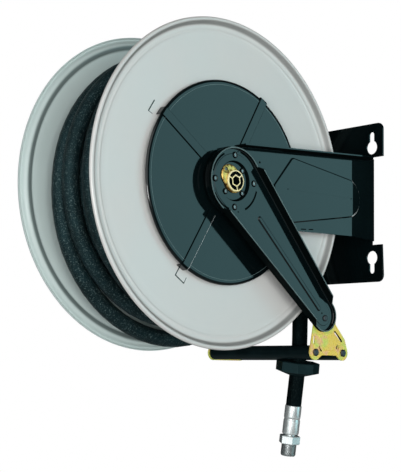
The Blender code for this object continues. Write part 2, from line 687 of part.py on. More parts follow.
def build_swing_arm(swing, mats):
    """Pressed channel; local Y runs along the arm, local Z across it."""
    steel = mats["black"]
    top = SWING_X + SWING_SHEET + SWING_FLANGE
    floor = SWING_X + SWING_SHEET
    outer = tapered_capsule(HEAD_R, SWING_TIP_R, SWING_LENGTH, 9)
    inner = tapered_capsule(HEAD_R - SWING_SHEET, SWING_TIP_R - SWING_SHEET,
                            SWING_LENGTH, 9)
    arm = make_object("swing_arm", plate(outer, SWING_X, top), steel, swing)
    tray = make_object("arm_tray", plate(inner, floor, top + 5 * MM), steel, swing)
    boolean(arm, tray, "DIFFERENCE")

    lip = floor + SWING_LIP
    rise, full, fall, low = SWING_FLANGE_U
    side = [(-80 * MM, lip), (rise, lip), (full, top), (fall, top), (low, lip),
            (340 * MM, lip), (340 * MM, top + 9 * MM), (-80 * MM, top + 9 * MM)]
    bm = bmesh.new()
    face = bm.faces.new([bm.verts.new((x, u, -90 * MM)) for u, x in side])
    extruded = bmesh.ops.extrude_face_region(bm, geom=[face])
    moved = [g for g in extruded["geom"] if isinstance(g, bmesh.types.BMVert)]
    bmesh.ops.translate(bm, verts=moved, vec=(0, 0, 180 * MM))
    trim = make_object("flange_trim", bm, steel, swing)
    boolean(arm, trim, "DIFFERENCE")

    bead = tapered_capsule(3 * MM, 3 * MM + 1e-6, 196 * MM, 5)
    top_bead = tapered_capsule(1.6 * MM, 1.6 * MM + 1e-6, 196 * MM, 5)
    ridge = make_object("centre_bead", tapered_plate(bead, floor - 0.5 * MM, top_bead,
                                                     floor + 1.6 * MM),
                        steel, swing, (0, 79.5 * MM, 0))
    boolean(arm, ridge, "UNION")
    for i, middle in enumerate((97, 187, 277, 367)):
        span = 21
        outer_arc = arc(0, 0, 50.2 * MM, middle - span, middle + span, 8)
        inner_arc = arc(0, 0, 47.4 * MM, middle + span, middle - span, 8)
        bead = make_object(f"head_bead_{i + 1}",
                           plate(outer_arc + inner_arc, floor - 0.5 * MM,
                                 floor + 1.3 * MM), steel, swing)
        boolean(arm, bead, "UNION")

    bore = make_object("head_bore", rod(SWING_X - 5 * MM, top, HEAD_HOLE_R, HUB_STEPS),
                       steel, swing)
    boolean(arm, bore, "DIFFERENCE")
    drill_ring(arm, "pivot_hole", PIVOT_SCREW_R, 45, SWING_X - 2 * MM, floor + 3 * MM,
               2.7 * MM, swing, steel)
    for name, u, radius in (("tip_hole", 298.7 * MM, 3.3 * MM),
                            ("pin_hole", 288 * MM, 2 * MM)):
        cutter = make_object(name, rod(SWING_X - 5 * MM, floor + 3 * MM, radius,
                                       SMALL_STEPS), steel, swing, (0, u, 0))
        boolean(arm, cutter, "DIFFERENCE")
    build_pivot(swing, mats)


def build_pivot(swing, mats):
    """Ring behind the arm's head that runs round the hub plate."""
    back, front = ARM_WEB_X + GAP, SWING_X - GAP
    profile = [(back, 31 * MM), (114.3 * MM, 31 * MM), (114.3 * MM, 36.4 * MM),
               (front, 36.4 * MM), (front, 52 * MM), (back, 52 * MM)]
    turning = make_object("pivot_ring", turned(profile, HUB_STEPS), mats["zinc"], swing)
    drill_ring(turning, "ring_hole", PIVOT_SCREW_R, 45, 113.4 * MM, front + 2 * MM,
               2.7 * MM, swing, mats["zinc"])
    seat = SWING_X + SWING_SHEET + GAP
    for i in range(4):
        y, z = polar(PIVOT_SCREW_R, 45 + 90 * i)
        bm = screw_bm(4.6 * MM, 2.6 * MM, 2.4 * MM, seat - 113.7 * MM)
        make_object(f"pivot_screw_{i + 1}", bm, mats["bolt"], swing, (seat, y, z))
    u = 298.7 * MM
    make_object("tip_screw", screw_bm(5.4 * MM, 3 * MM, 3 * MM, seat - 109.5 * MM),
                mats["bolt"], swing, (seat, u, 0))
    nut = arc(0, 0, 6.4 * MM, 0, 300, 5)
    nut_back = GUIDE_X - GUIDE_SHEET - GAP
    nut_obj = make_object("tip_nut", plate(nut, nut_back - 4 * MM, nut_back),
                          mats["bolt"], swing, (0, u, 0))
    bore = make_object("tip_nut_bore", rod(nut_back - 8 * MM, nut_back + 4 * MM,
                                           3.3 * MM, SMALL_STEPS),
                       mats["bolt"], swing, (0, u, 0))
    boolean(nut_obj, bore, "DIFFERENCE")


# ----------------------------------------------------------- roller guide

def guide_outline():
    """Near guide plate: round top behind the arm, two lobes below."""
    front_y, rear_y = ROLLER_Y
    top_y, top_z, lobe = 213 * MM, -214 * MM, 13 * MM
    points = arc(top_y, top_z, 28 * MM, -14, 200, 12)
    points += arc(front_y, ROLLER_Z, lobe, 172, 318, 8)
    points += [(207 * MM, -273.5 * MM), (243 * MM, -273.5 * MM)]
    points += arc(rear_y, ROLLER_Z, lobe, 222, 380, 8)
    points += [(263.5 * MM, -246 * MM)]
    return points


def panel_outline(inset):
    """Pressed trapezoid in the middle of the guide plate."""
    corners = [(197 * MM + inset, -239.5 * MM), (235 * MM - inset, -234 * MM),
               (246 * MM - inset, -252 * MM), (238 * MM - inset, -266 * MM + inset),
               (211 * MM + inset, -266 * MM + inset)]
    return fillet(corners, 3 * MM, 2)


def build_guide(swing_row, mats):
    """Plates, shafts and nuts of the roller guide, square to the wall."""
    outer, inner = GUIDE_X, GUIDE_X - GUIDE_SHEET
    near = make_object("guide_bracket", plate(guide_outline(), inner, outer),
                       mats["yellow"], swing_row)
    raised = tapered_plate(panel_outline(0), outer - 1 * MM,
                           panel_outline(1.2 * MM), outer + 1.2 * MM)
    raised = make_object("guide_panel", raised, mats["yellow"], swing_row)
    boolean(near, raised, "UNION")
    slots = (((241, -235.5), (254, -249.5)), ((189.5, -243), (188.5, -253.5)),
             ((201, -259), (203.5, -265)), ((249, -257), (246.5, -264)))
    for i, (a, b) in enumerate(slots):
        a, b = Vector(a) * MM, Vector(b) * MM
        along = math.degrees(math.atan2(b.y - a.y, b.x - a.x))
        outline = tapered_capsule(1.2 * MM, 1.2 * MM - 1e-6, (b - a).length, 4)
        cutter = make_object(f"guide_slot_{i + 1}",
                             plate(outline, inner - 2 * MM, outer + 3 * MM),
                             mats["yellow"], swing_row, (0, a.x, a.y), along)
        boolean(near, cutter, "DIFFERENCE")
    u_y, u_z = polar(298.7 * MM, SWING_ANGLE)
    hole = make_object("guide_tip_hole", rod(inner - 2 * MM, outer + 2 * MM, 3.3 * MM,
                                             SMALL_STEPS),
                       mats["yellow"], swing_row, (0, u_y, u_z))
    boolean(near, hole, "DIFFERENCE")

    far_x = ROLLER_X[0] - GAP
    front_y, rear_y = ROLLER_Y
    stadium = tapered_capsule(13 * MM, 13 * MM - 1e-6, rear_y - front_y, 7)
    far = make_object("far_guide_plate",
                      plate([(y + front_y, z + ROLLER_Z) for y, z in stadium],
                            far_x - GUIDE_SHEET, far_x), mats["yellow"], swing_row)
    for i, y in enumerate(ROLLER_Y):
        for target, x in ((near, outer), (far, far_x)):
            cutter = make_object(f"shaft_hole_{target.name}_{i + 1}",
                                 rod(x - 6 * MM, x + 4 * MM, SHAFT_R + GAP, 20),
                                 mats["yellow"], swing_row, (0, y, ROLLER_Z))
            boolean(target, cutter, "DIFFERENCE")
        seat = outer + GAP
        length = seat - (far_x - GUIDE_SHEET) + 5.5 * MM
        shaft = screw_bm(6.4 * MM, 3.6 * MM, SHAFT_R, length)
        make_object(f"roller_shaft_{i + 1}", shaft, mats["bolt"], swing_row,
                    (seat, y, ROLLER_Z))
        nut = make_object(f"shaft_nut_{i + 1}",
                          plate(arc(0, 0, 8 * MM, 0, 300, 5),
                                far_x - GUIDE_SHEET - GAP - 4 * MM,
                                far_x - GUIDE_SHEET - GAP),
                          mats["bolt"], swing_row, (0, y, ROLLER_Z))
        bore = make_object(f"shaft_nut_bore_{i + 1}",
                           rod(far_x - 20 * MM, far_x + 5 * MM, SHAFT_R + GAP, 20),
                           mats["bolt"], swing_row, (0, y, ROLLER_Z))
        boolean(nut, bore, "DIFFERENCE")


def build_rollers(reel, mats):
    """Two long rollers, each turning on its own shaft."""
    x0, x1 = ROLLER_X
    r, bore, soft = ROLLER_R, SHAFT_R + GAP, 2.5 * MM
    profile = [(x0, bore), (x0, r - soft), (x0 + soft * 0.3, r - soft * 0.3),
               (x0 + soft, r), (x1 - soft, r), (x1 - soft * 0.3, r - soft * 0.3),
               (x1, r - soft), (x1, bore)]
    for i, y in enumerate(ROLLER_Y):
        name = ("front", "rear")[i]
        empty = make_empty(f"{name}_roller_axis", (0, y, ROLLER_Z), parent=reel)
        make_object(f"{name}_roller", turned(profile, 20), mats["plastic"], empty)


# ------------------------------------------------------------------- hose

def hose_run_route():
    """Hose from the last turn, over the rollers' gap, down to its fitting."""
    radius = LAYER_R[2]
    points = []
    for degrees in range(60, 4, -5):
        y, z = polar(radius, degrees)
        points.append((RUN_X, y, z))
    points += [(x * MM, y * MM, z * MM) for x, y, z in (
        (72.0, 198.6, -70), (66.2, 206.6, -150), (57.8, 214.6, -222),
        (52.4, 218.8, -262), (46.6, 220.2, -300), (40.5, 220.4, -340),
        (37.6, 220.4, -359))]
    return points


def smooth_route(points, per_span):
    """Points of a centripetal-like spline through the route's points."""
    line = [Vector(p) for p in points]
    line = [line[0] * 2 - line[1]] + line + [line[-1] * 2 - line[-2]]
    out = []
    for i in range(1, len(line) - 2):
        a, b, c, d = line[i - 1:i + 3]
        ab, bc, cd = (b - a).length, (c - b).length, (d - c).length
        m1 = ((b - a) / ab * bc + (c - b) * (ab / bc)) * bc / (ab + bc)
        m2 = ((c - b) * (cd / bc) + (d - c) / cd * bc) * bc / (bc + cd)
        for k in range(per_span):
            t = k / per_span
            out.append((2 * t ** 3 - 3 * t ** 2 + 1) * b + (t ** 3 - 2 * t ** 2 + t) * m1
                       + (3 * t ** 2 - 2 * t ** 3) * c + (t ** 3 - t ** 2) * m2)
    out.append(line[-2])
    return out


def build_hose(swing_row, mats):
    """Hanging hose with its stop, ferrule and threaded fitting."""
    points = smooth_route(hose_run_route(), 2)
    curve = bpy.data.curves.new("hose_run", "CURVE")
    curve.dimensions = "3D"
    curve.bevel_depth = HOSE_R
    curve.bevel_resolution = 2
    curve.use_fill_caps = True
    spline = curve.splines.new("POLY")
    spline.points.add(len(points) - 1)
    for target, point in zip(spline.points, points):
        target.co = (*point, 1.0)
    curve.materials.append(mats["rubber"])
    run = bpy.data.objects.new("hose_run", curve)
    bpy.context.scene.collection.objects.link(run)
    run.parent = swing_row

    end = Vector((37.6, 220.4, -359)) * MM
    before = Vector((40.5, 220.4, -340)) * MM
    lean = Vector((1, 0, 0)).rotation_difference(before - end)
    build_fitting(swing_row, end, lean, mats)
    stop_at = Vector((46.8, 220.2, -298.6)) * MM
    stop_lean = Vector((1, 0, 0)).rotation_difference(Vector((0.15, -0.01, 1)))
    build_stop(swing_row, stop_at, stop_lean, mats)


def build_fitting(swing_row, end, lean, mats):
    """Crimped ferrule and the fitting with its hexagon and thread."""
    ferrule = [(-GAP, 9.4 * MM), (-GAP, 13.9 * MM), (-1.5 * MM, 14.3 * MM),
               (-21 * MM, 14.3 * MM), (-23.5 * MM, 13.5 * MM), (-26 * MM, 14.3 * MM),
               (-49 * MM, 14.3 * MM), (-50 * MM, 13.6 * MM), (-50 * MM, 9.4 * MM)]
    obj = make_object("ferrule", turned(ferrule, 18), mats["zinc"], swing_row, end)
    obj.rotation_mode = "QUATERNION"
    obj.rotation_quaternion = lean
    body = [(-6 * MM, 7 * MM), (-6 * MM, 9 * MM), (-52.5 * MM, 9 * MM),
            (-52.5 * MM, 16 * MM), (-66 * MM, 16 * MM), (-66 * MM, 11.6 * MM),
            (-68 * MM, 13 * MM), (-86 * MM, 13 * MM), (-87.5 * MM, 11.8 * MM),
            (-87.5 * MM, 7 * MM)]
    fitting = make_object("hose_fitting", turned(body, 18), mats["zinc"], swing_row, end)
    fitting.rotation_mode = "QUATERNION"
    fitting.rotation_quaternion = lean
    hexagon = plate(arc(0, 0, 18.4 * MM, 0, 300, 5), -66 * MM, -52.5 * MM)
    nut = make_object("fitting_hexagon", hexagon, mats["zinc"], swing_row, end)
    nut.rotation_mode = "QUATERNION"
    nut.rotation_quaternion = lean
    boolean(fitting, nut, "UNION")
    bore = make_object("fitting_bore", rod(-100 * MM, 5 * MM, 7 * MM, 18),
                       mats["zinc"], swing_row, end)
    bore.rotation_mode = "QUATERNION"
    bore.rotation_quaternion = lean
    boolean(fitting, bore, "DIFFERENCE")


def build_stop(swing_row, middle, lean, mats):
    """Eight-sided rubber stop clamped on the hose below the rollers."""
    r, bore_r, edge = 37.4 * MM, HOSE_R + GAP, 1.2 * MM
    top, wall_end, bottom = 11.6 * MM, -2.5 * MM, -8.5 * MM
    profile = [(top, bore_r), (top, r - edge), (top - edge, r), (wall_end, r),
               (bottom, 18 * MM), (bottom, bore_r)]
    stop = make_object("hose_stop", turned(profile, 8), mats["rubber"], swing_row, middle)
    stop.rotation_mode = "QUATERNION"
    stop.rotation_quaternion = lean
    bore = make_object("stop_bore", rod(-30 * MM, 30 * MM, bore_r, 20),
                       mats["rubber"], swing_row, middle)
    bore.rotation_mode = "QUATERNION"
    bore.rotation_quaternion = lean
    boolean(stop, bore, "DIFFERENCE")


def main():
    clear_scene()
    mats = {
        "black": make_material("black_gloss_paint", (0.03, 0.036, 0.038), 0.18, 0.0),
        "paint": make_material("light_grey_paint", (0.60, 0.64, 0.64), 0.35, 0.0),
        "zinc": make_material("bright_zinc", (0.62, 0.63, 0.62), 0.3, 1.0),
        "yellow": make_material("yellow_zinc", (0.72, 0.62, 0.22), 0.28, 1.0),
        "brass": make_material("brass", (0.78, 0.55, 0.16), 0.3, 1.0),
        "plug": make_material("yellow_plastic", (0.85, 0.78, 0.35), 0.45, 0.0),
        "bolt": make_material("dark_bolt_steel", (0.2, 0.2, 0.2), 0.35, 1.0),
        "spring": make_material("spring_steel", (0.3, 0.31, 0.33), 0.35, 1.0),
        "plastic": make_material("black_plastic", (0.02, 0.022, 0.024), 0.45, 0.0),
        "rubber": make_material("hose_rubber", (0.013, 0.018, 0.024), 0.6, 0.0),
    }
    root = make_empty("bracket_frame", (0, 0, 0))
    reel = make_empty("reel_axis", (0, -AXLE_FROM_WALL, 0))
    drum = make_empty("drum_axis", (0, 0, 0), parent=reel)
    swing = make_empty("swing_axis", (0, 0, 0), SWING_ANGLE, reel)
    swing_row = make_empty("guide_axis", (0, 0, 0), parent=reel)
    build_wall_bracket(root, reel, mats["black"])
    build_hub(reel, mats)
    build_drum(drum, mats)
    build_winding(drum, mats["rubber"])
    build_pawl(drum, mats)
    build_swing_arm(swing, mats)
    build_guide(swing_row, mats)
    build_rollers(reel, mats)
    build_hose(swing_row, mats)


main()
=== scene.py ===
"""Finishes and fine shapes for a wall-mounted, spring-rewind hose reel.

The reel's axle runs along X, the wall is the plane y = 0, and Z is up.
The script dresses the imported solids: it gives each one its finish, and
replaces those that need rounder edges, a weave or a thread.
"""

import math

import bmesh
import bpy
import numpy as np
from mathutils import Matrix, Vector


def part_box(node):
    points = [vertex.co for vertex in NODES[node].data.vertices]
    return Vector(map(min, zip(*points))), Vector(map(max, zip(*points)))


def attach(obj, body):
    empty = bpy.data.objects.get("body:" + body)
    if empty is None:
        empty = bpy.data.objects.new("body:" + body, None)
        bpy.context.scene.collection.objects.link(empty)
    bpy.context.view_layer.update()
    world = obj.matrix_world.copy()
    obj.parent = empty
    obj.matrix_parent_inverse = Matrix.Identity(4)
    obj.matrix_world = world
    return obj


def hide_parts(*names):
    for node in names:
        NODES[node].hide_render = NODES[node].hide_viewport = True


bl_info = {
    "name": "Hose reel dresser",
    "version": (1, 0, 0),
    "blender": (4, 5, 0),
    "location": "3D View > Sidebar > Hose Reel",
    "description": "Builds the finished look of a wall-mounted hose reel",
    "category": "Object",
}

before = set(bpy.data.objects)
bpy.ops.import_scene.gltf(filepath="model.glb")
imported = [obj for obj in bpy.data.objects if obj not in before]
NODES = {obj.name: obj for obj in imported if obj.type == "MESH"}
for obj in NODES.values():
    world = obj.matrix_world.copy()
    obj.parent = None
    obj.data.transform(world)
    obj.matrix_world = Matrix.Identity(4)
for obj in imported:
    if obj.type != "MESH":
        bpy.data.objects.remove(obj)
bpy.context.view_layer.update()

MM = 0.001
AXLE_LOW, AXLE_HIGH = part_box("axle")
AXLE = Vector((0.0, (AXLE_LOW.y + AXLE_HIGH.y) / 2, (AXLE_LOW.z + AXLE_HIGH.z) / 2))


# ------------------------------------------------------------ sizes, colours

def length(name, description, default):
    """A length property in metres."""
    return bpy.props.FloatProperty(name=name, description=description,
                                   default=default, unit="LENGTH", precision=5)


def colour(name, description, default):
    """A colour property."""
    return bpy.props.FloatVectorProperty(name=name, description=description, size=3,
                                         default=default, min=0.0, max=1.0,
                                         subtype="COLOR")


class ReelSizes(bpy.types.PropertyGroup):
    """Sizes that a user may change within the room that the solids leave."""

    hose_radius: length("Hose radius", "Outside radius of the hose", 13.35 * MM)
    drum_radius: length("Drum radius", "Radius of the drum under the hose", 125 * MM)
    turn_pitch: length("Turn pitch", "Distance between turns side by side", 29.44 * MM)
    rim_radius: length("Rim radius", "Outside radius of the two discs", 269.6 * MM)
    disc_face: length("Disc face", "Distance of a disc's flat from the middle", 89 * MM)
    disc_sheet: length("Disc sheet", "Thickness of the discs' sheet", 1.4 * MM)
    pan_radius: length("Pan radius", "Radius of the pan's rolled lip", 166.3 * MM)
    pan_face: length("Pan face", "Distance of the pan's face from the middle", 102 * MM)
    edge_round: length("Edge round", "Radius on the edges of sheet parts", 0.45 * MM)


class ReelColours(bpy.types.PropertyGroup):
    """Base colours of the finishes."""

    grey_paint: colour("Grey paint", "Powder coat of the discs", (0.65, 0.642, 0.625))
    black_paint: colour("Black paint", "Gloss paint of arms, plate and pan",
                        (0.0015, 0.0042, 0.0048))
    zinc: colour("Bright zinc", "Plating of ferrule and fitting", (0.72, 0.76, 0.76))
    yellow_zinc: colour("Yellow zinc", "Passivated plating of the guide",
                        (0.84, 0.60, 0.09))
    brass: colour("Brass", "Inlet body", (0.86, 0.58, 0.16))
    plug: colour("Plug", "Transport plug", (0.90, 0.80, 0.42))
    rubber: colour("Hose rubber", "Cover of the hose", (0.007, 0.021, 0.025))
    black_plastic: colour("Black plastic", "Rollers, bushes and pawl",
                          (0.003, 0.007, 0.008))


def sizes():
    """The sizes that the scene holds."""
    return bpy.context.scene.reel_sizes


def colours():
    """The colours that the scene holds."""
    return bpy.context.scene.reel_colours


# ------------------------------------------------------------ node shorthand

class Nodes:
    """Adds and links nodes of one tree."""

    def __init__(self, tree):
        self.tree = tree

    def add(self, kind, **settings):
        node = self.tree.nodes.new(kind)
        for key, value in settings.items():
            setattr(node, key, value)
        return node

    def link(self, out, into):
        self.tree.links.new(out, into)

    def feed(self, socket, value):
        """Link a socket or set a value."""
        if isinstance(value, bpy.types.NodeSocket):
            self.tree.links.new(value, socket)
        elif value is not None:
            socket.default_value = value

    def math(self, operation, a, b=None, c=None):
        node = self.add("ShaderNodeMath", operation=operation)
        for socket, value in zip(node.inputs, (a, b, c)):
            self.feed(socket, value)
        return node.outputs[0]

    def vector(self, operation, value, by=None):
        node = self.add("ShaderNodeVectorMath", operation=operation)
        self.feed(node.inputs[0], value)
        self.feed(node.inputs[1], by)
        return node.outputs["Value" if operation == "LENGTH" else "Vector"]

    def ramp(self, value, low, high, to_low=0.0, to_high=1.0):
        node = self.add("ShaderNodeMapRange", interpolation_type="SMOOTHSTEP")
        for socket, given in zip(node.inputs, (value, low, high, to_low, to_high)):
            self.feed(socket, given)
        return node.outputs[0]

    def mix(self, share, a, b):
        """Mix two colours."""
        node = self.add("ShaderNodeMix", data_type="RGBA")
        self.feed(node.inputs["Factor"], share)
        self.feed(node.inputs[6], (*a, 1.0) if isinstance(a, tuple) else a)
        self.feed(node.inputs[7], (*b, 1.0) if isinstance(b, tuple) else b)
        return node.outputs[2]

    def noise(self, vector, scale, detail=3.0, roughness=0.55):
        node = self.add("ShaderNodeTexNoise")
        self.feed(node.inputs["Vector"], vector)
        node.inputs["Scale"].default_value = scale
        node.inputs["Detail"].default_value = detail
        node.inputs["Roughness"].default_value = roughness
        return node.outputs[0]

    def bump(self, height, strength, distance):
        node = self.add("ShaderNodeBump")
        node.inputs["Strength"].default_value = strength
        node.inputs["Distance"].default_value = distance
        self.feed(node.inputs["Height"], height)
        return node.outputs[0]

    def surface(self, shader, tone, rough, height, strength, distance):
        """Give a shader its colour, roughness and small relief."""
        self.feed(shader.inputs["Base Color"], tone)
        self.feed(shader.inputs["Roughness"], rough)
        self.feed(shader.inputs["Normal"], self.bump(height, strength, distance))


def start_material(name, roughness=0.5, metallic=0.0):
    """Nodes, principled shader and Object coordinates of a new material."""
    mat = bpy.data.materials.new(name)
    mat.use_nodes = True
    tree = Nodes(mat.node_tree)
    shader = mat.node_tree.nodes["Principled BSDF"]
    shader.inputs["Roughness"].default_value = roughness
    shader.inputs["Metallic"].default_value = metallic
    shader.inputs["IOR"].default_value = 1.5
    coords = tree.add("ShaderNodeTexCoord")
    return tree, shader, coords.outputs["Object"]


def cool_sheen(shader, level):
    """Set how strong a black surface's cool sheen is."""
    shader.inputs["Specular IOR Level"].default_value = level
    shader.inputs["Specular Tint"].default_value = (0.5, 0.93, 1.0, 1.0)


def tinted(base, factor):
    """The colour with its brightness changed."""
    return tuple(min(1.0, channel * factor) for channel in base)


# ------------------------------------------------------------------ finishes

def paint_finish(name, base, rough, orange_peel, spread, metallic=0.0, ring=None):
    """Sprayed paint: slight orange peel, faint clouds and fine dust.

    A ring round the axle takes painted shade, given in mm as (radius, half
    width) with the share of the paint's brightness that it leaves.
    """
    tree, shader, place = start_material(name, rough, metallic)
    clouds = tree.noise(place, 9.0, 4.0)
    peel = tree.noise(place, 420.0, 2.0)
    dust = tree.noise(place, 1500.0, 2.0)
    tone = tree.mix(tree.ramp(clouds, 0.3, 0.7), tinted(base, 1 - spread),
                    tinted(base, 1 + spread))
    if ring:
        radius, half, left = ring
        from_middle = tree.vector("SUBTRACT", place, tuple(AXLE))
        reach = tree.vector("LENGTH", tree.vector("MULTIPLY", from_middle, (0.0, 1.0, 1.0)))
        away = tree.math("ABSOLUTE", tree.math("SUBTRACT", reach, radius * MM))
        # Painted shade: the paint darkens in a ring, standing for the shade in a groove near
        # the rim
        painted_shade = tree.ramp(away, half * 0.25 * MM, half * MM, 1.0 - left, 0.0)
        tone = tree.mix(painted_shade, tone, (0.01, 0.03, 0.03))
    specks = tree.ramp(dust, 0.70, 0.78, 0.0, 0.10)
    tree.surface(shader, tree.mix(specks, tone, tinted(base, 1.6)),
                 tree.ramp(clouds, 0.25, 0.75, rough * 0.85, rough * 1.2),
                 peel, orange_peel, 0.0004)


def plated_finish(name, base, rough):
    """Plated steel or zinc: drawn streaks and small cloudy stains."""
    tree, shader, place = start_material(name, rough, metallic=0.55)
    stretch = tree.add("ShaderNodeMapping")
    stretch.inputs["Scale"].default_value = (1.0, 1.0, 0.12)
    tree.feed(stretch.inputs["Vector"], place)
    streaks = tree.noise(stretch.outputs[0], 900.0, 3.0)
    stains = tree.noise(place, 60.0, 4.0)
    tone = tree.mix(tree.ramp(stains, 0.35, 0.7), tinted(base, 0.84), base)
    tone = tree.mix(tree.ramp(streaks, 0.4, 0.7, 0.0, 0.12), tone, tinted(base, 0.45))
    tree.surface(shader, tone, tree.ramp(stains, 0.3, 0.7, rough * 0.8, rough * 1.35),
                 streaks, 0.10, 0.0002)


def yellow_zinc_finish(base):
    """Yellow passivated zinc: clouds of straw, green and pink."""
    tree, shader, place = start_material("passivated_zinc", 0.3, metallic=0.12)
    broad = tree.noise(place, 42.0, 2.0)
    fine = tree.noise(place, 150.0, 4.0)
    other = tree.noise(tree.vector("ADD", place, (3.1, 1.7, 0.4)), 55.0, 2.0)
    tone = tree.mix(tree.ramp(broad, 0.46, 0.66), base, (0.60, 0.66, 0.12))
    tone = tree.mix(tree.ramp(other, 0.52, 0.66, 0.0, 0.75), tone, (0.86, 0.44, 0.25))
    tone = tree.mix(tree.ramp(fine, 0.45, 0.75, 0.0, 0.35), tone, (0.96, 0.84, 0.34))
    tree.surface(shader, tone, tree.ramp(fine, 0.3, 0.7, 0.22, 0.42), fine, 0.06, 0.0002)


def brass_finish(base):
    """Turned brass with darker tarnish."""
    tree, shader, place = start_material("turned_brass", 0.3, metallic=0.7)
    tarnish = tree.noise(place, 130.0, 4.0)
    tone = tree.mix(tree.ramp(tarnish, 0.40, 0.60), (0.16, 0.075, 0.012), base)
    tree.surface(shader, tone, tree.ramp(tarnish, 0.3, 0.7, 0.2, 0.4),
                 tarnish, 0.08, 0.0002)


def moulded_finish(name, base, rough, grain, sheen=0.5, scale=700.0):
    """Moulded plastic or rubber: fine grain and handling marks."""
    tree, shader, place = start_material(name, rough)
    if max(base) < 0.1:
        cool_sheen(shader, sheen)
    pores = tree.noise(place, scale, 2.0)
    marks = tree.noise(place, 35.0, 5.0)
    tone = tree.mix(tree.ramp(marks, 0.4, 0.75, 0.0, 0.5), base, tinted(base, 2.2))
    rough = tree.ramp(marks, 0.3, 0.75, rough * 0.85, min(1.0, rough * 1.25))
    tree.surface(shader, tone, rough, pores, grain, 0.0003)


def hose_finish(name, base, glint_share, sheen):
    """Cloth-wrapped rubber: crossing threads, wrap marks, scuffs and light specks of painted
    glints.
    """
    tree, shader, place = start_material(name, 0.42)
    cool_sheen(shader, sheen)
    uv = tree.add("ShaderNodeUVMap")
    uv.uv_map = "around_along"
    split = tree.add("ShaderNodeSeparateXYZ")
    tree.feed(split.inputs[0], uv.outputs[0])
    around, along = split.outputs[0], split.outputs[1]

    def stripes(round_count, along_count):
        """Waves that run slantwise along the hose."""
        slant = tree.math("ADD", tree.math("MULTIPLY", around, round_count * math.tau),
                          tree.math("MULTIPLY", along, along_count * math.tau))
        return tree.math("SINE", slant)

    weave = tree.math("MAXIMUM", stripes(36.0, 36.0), stripes(36.0, -36.0))
    wrap = tree.math("POWER", tree.ramp(stripes(2.0, 5.0), -1.0, 1.0), 6.0)
    scuffs_and_glints = tree.noise(place, 420.0, 4.0, 0.7)
    patches = tree.noise(place, 30.0, 3.0)
    height = tree.math("ADD", tree.math("MULTIPLY", weave, 0.35),
                       tree.math("ADD", tree.math("MULTIPLY", wrap, 0.6),
                                 tree.math("MULTIPLY", scuffs_and_glints, 1.6)))
    # Light specks where the noise peaks are painted glints of the hose's sheen; the same
    # noise also gives real scuff relief
    painted_glint = tree.ramp(scuffs_and_glints, 0.54, 0.64, 0.0, glint_share)
    tone = tree.mix(tree.ramp(patches, 0.35, 0.7), tinted(base, 0.7),
                    tinted(base, 1.5))
    tree.surface(shader, tree.mix(painted_glint, tone, (0.10, 0.145, 0.145)),
                 tree.ramp(scuffs_and_glints, 0.35, 0.7, 0.34, 0.62), height, 0.55, 0.0006)


# name, colour, roughness
PLATED = (("screw_steel", (0.24, 0.30, 0.31), 0.2), ("spring_strip", (0.26, 0.28, 0.31), 0.3),
          ("blued_steel", (0.05, 0.06, 0.065), 0.3))
# The finishes below stand for light, not colour: the first is painted shade, the next two are
# painted highlights, the last is painted shade
# name, colour, roughness, grain, sheen
MOULDED = (("painted_shade_black", (0.001, 0.002, 0.002), 0.8, 0.1, 0.05),
           ("painted_highlight_edge", (0.07, 0.10, 0.10), 0.35, 0.05, 0.5),
           ("painted_highlight_pale", (0.9, 0.95, 0.95), 0.4, 0.05, 0.5),
           ("shaded_seam", (0.03, 0.045, 0.045), 0.7, 0.1, 0.2))
# The far disc's inner face takes a darker, cooler copy of the grey paint: painted shade where
# the near disc and the hose shadow it
FAR_DISC_SHADE = (0.79, 0.93, 0.93)


def finishes():
    """Every finish by name, made once."""
    if "gloss_black" not in bpy.data.materials:
        tone = colours()
        grey = tuple(tone.grey_paint)
        shaded_grey = tuple(a * b for a, b in zip(grey, FAR_DISC_SHADE))
        paint_finish("gloss_black", tuple(tone.black_paint), 0.07, 0.05, 0.2)
        # Each disc's ring is painted shade in a groove near its rim; the far disc's paint is
        # a darker copy, painted shade
        paint_finish("disc_grey", grey, 0.42, 0.10, 0.02, 0.15, (260.5, 4.5, 0.45))
        paint_finish("disc_grey_inner_shaded", shaded_grey, 0.42, 0.10, 0.02, 0.0, (251.0, 6.5, 0.25))
        plated_finish("zinc_plate", tuple(tone.zinc), 0.22)
        yellow_zinc_finish(tuple(tone.yellow_zinc))
        brass_finish(tuple(tone.brass))
        moulded_finish("pale_plug", tuple(tone.plug), 0.4, 0.05)
        moulded_finish("moulded_black", tuple(tone.black_plastic), 0.32, 0.15, 0.22)
        moulded_finish("rubber_black", (0.003, 0.009, 0.010), 0.5, 0.35, 0.25, 420.0)
        for row in PLATED:
            plated_finish(*row)
        for row in MOULDED:
            moulded_finish(*row)
        hose_finish("hose_cover", tinted(tone.rubber, 0.45), 0.8, 0.28)
        # The hanging hose takes a darker copy of the hose cover with fewer glints: painted
        # shade
        hose_finish("hose_cover_shaded", tinted(tone.rubber, 0.12), 0.1, 0.04)
    return bpy.data.materials


# -------------------------------------------------------------- mesh helpers

SPIN_RADIUS = 0.001


def polar(radius, degrees):
    """(y, z) at an angle from +Y towards +Z."""
    angle = math.radians(degrees)
    return radius * math.cos(angle), radius * math.sin(angle)


def from_axle(x, y, z):
    """Point given from the axle's middle, in the row frame."""
    return Vector((x, AXLE.y + y, AXLE.z + z))


def mm(values):
    """Millimetres as metres."""
    return [value * MM for value in values]


def linked(name, data):
    """New object of the scene for a mesh, camera or lamp."""
    obj = bpy.data.objects.new(name, data)
    bpy.context.scene.collection.objects.link(obj)
    return obj


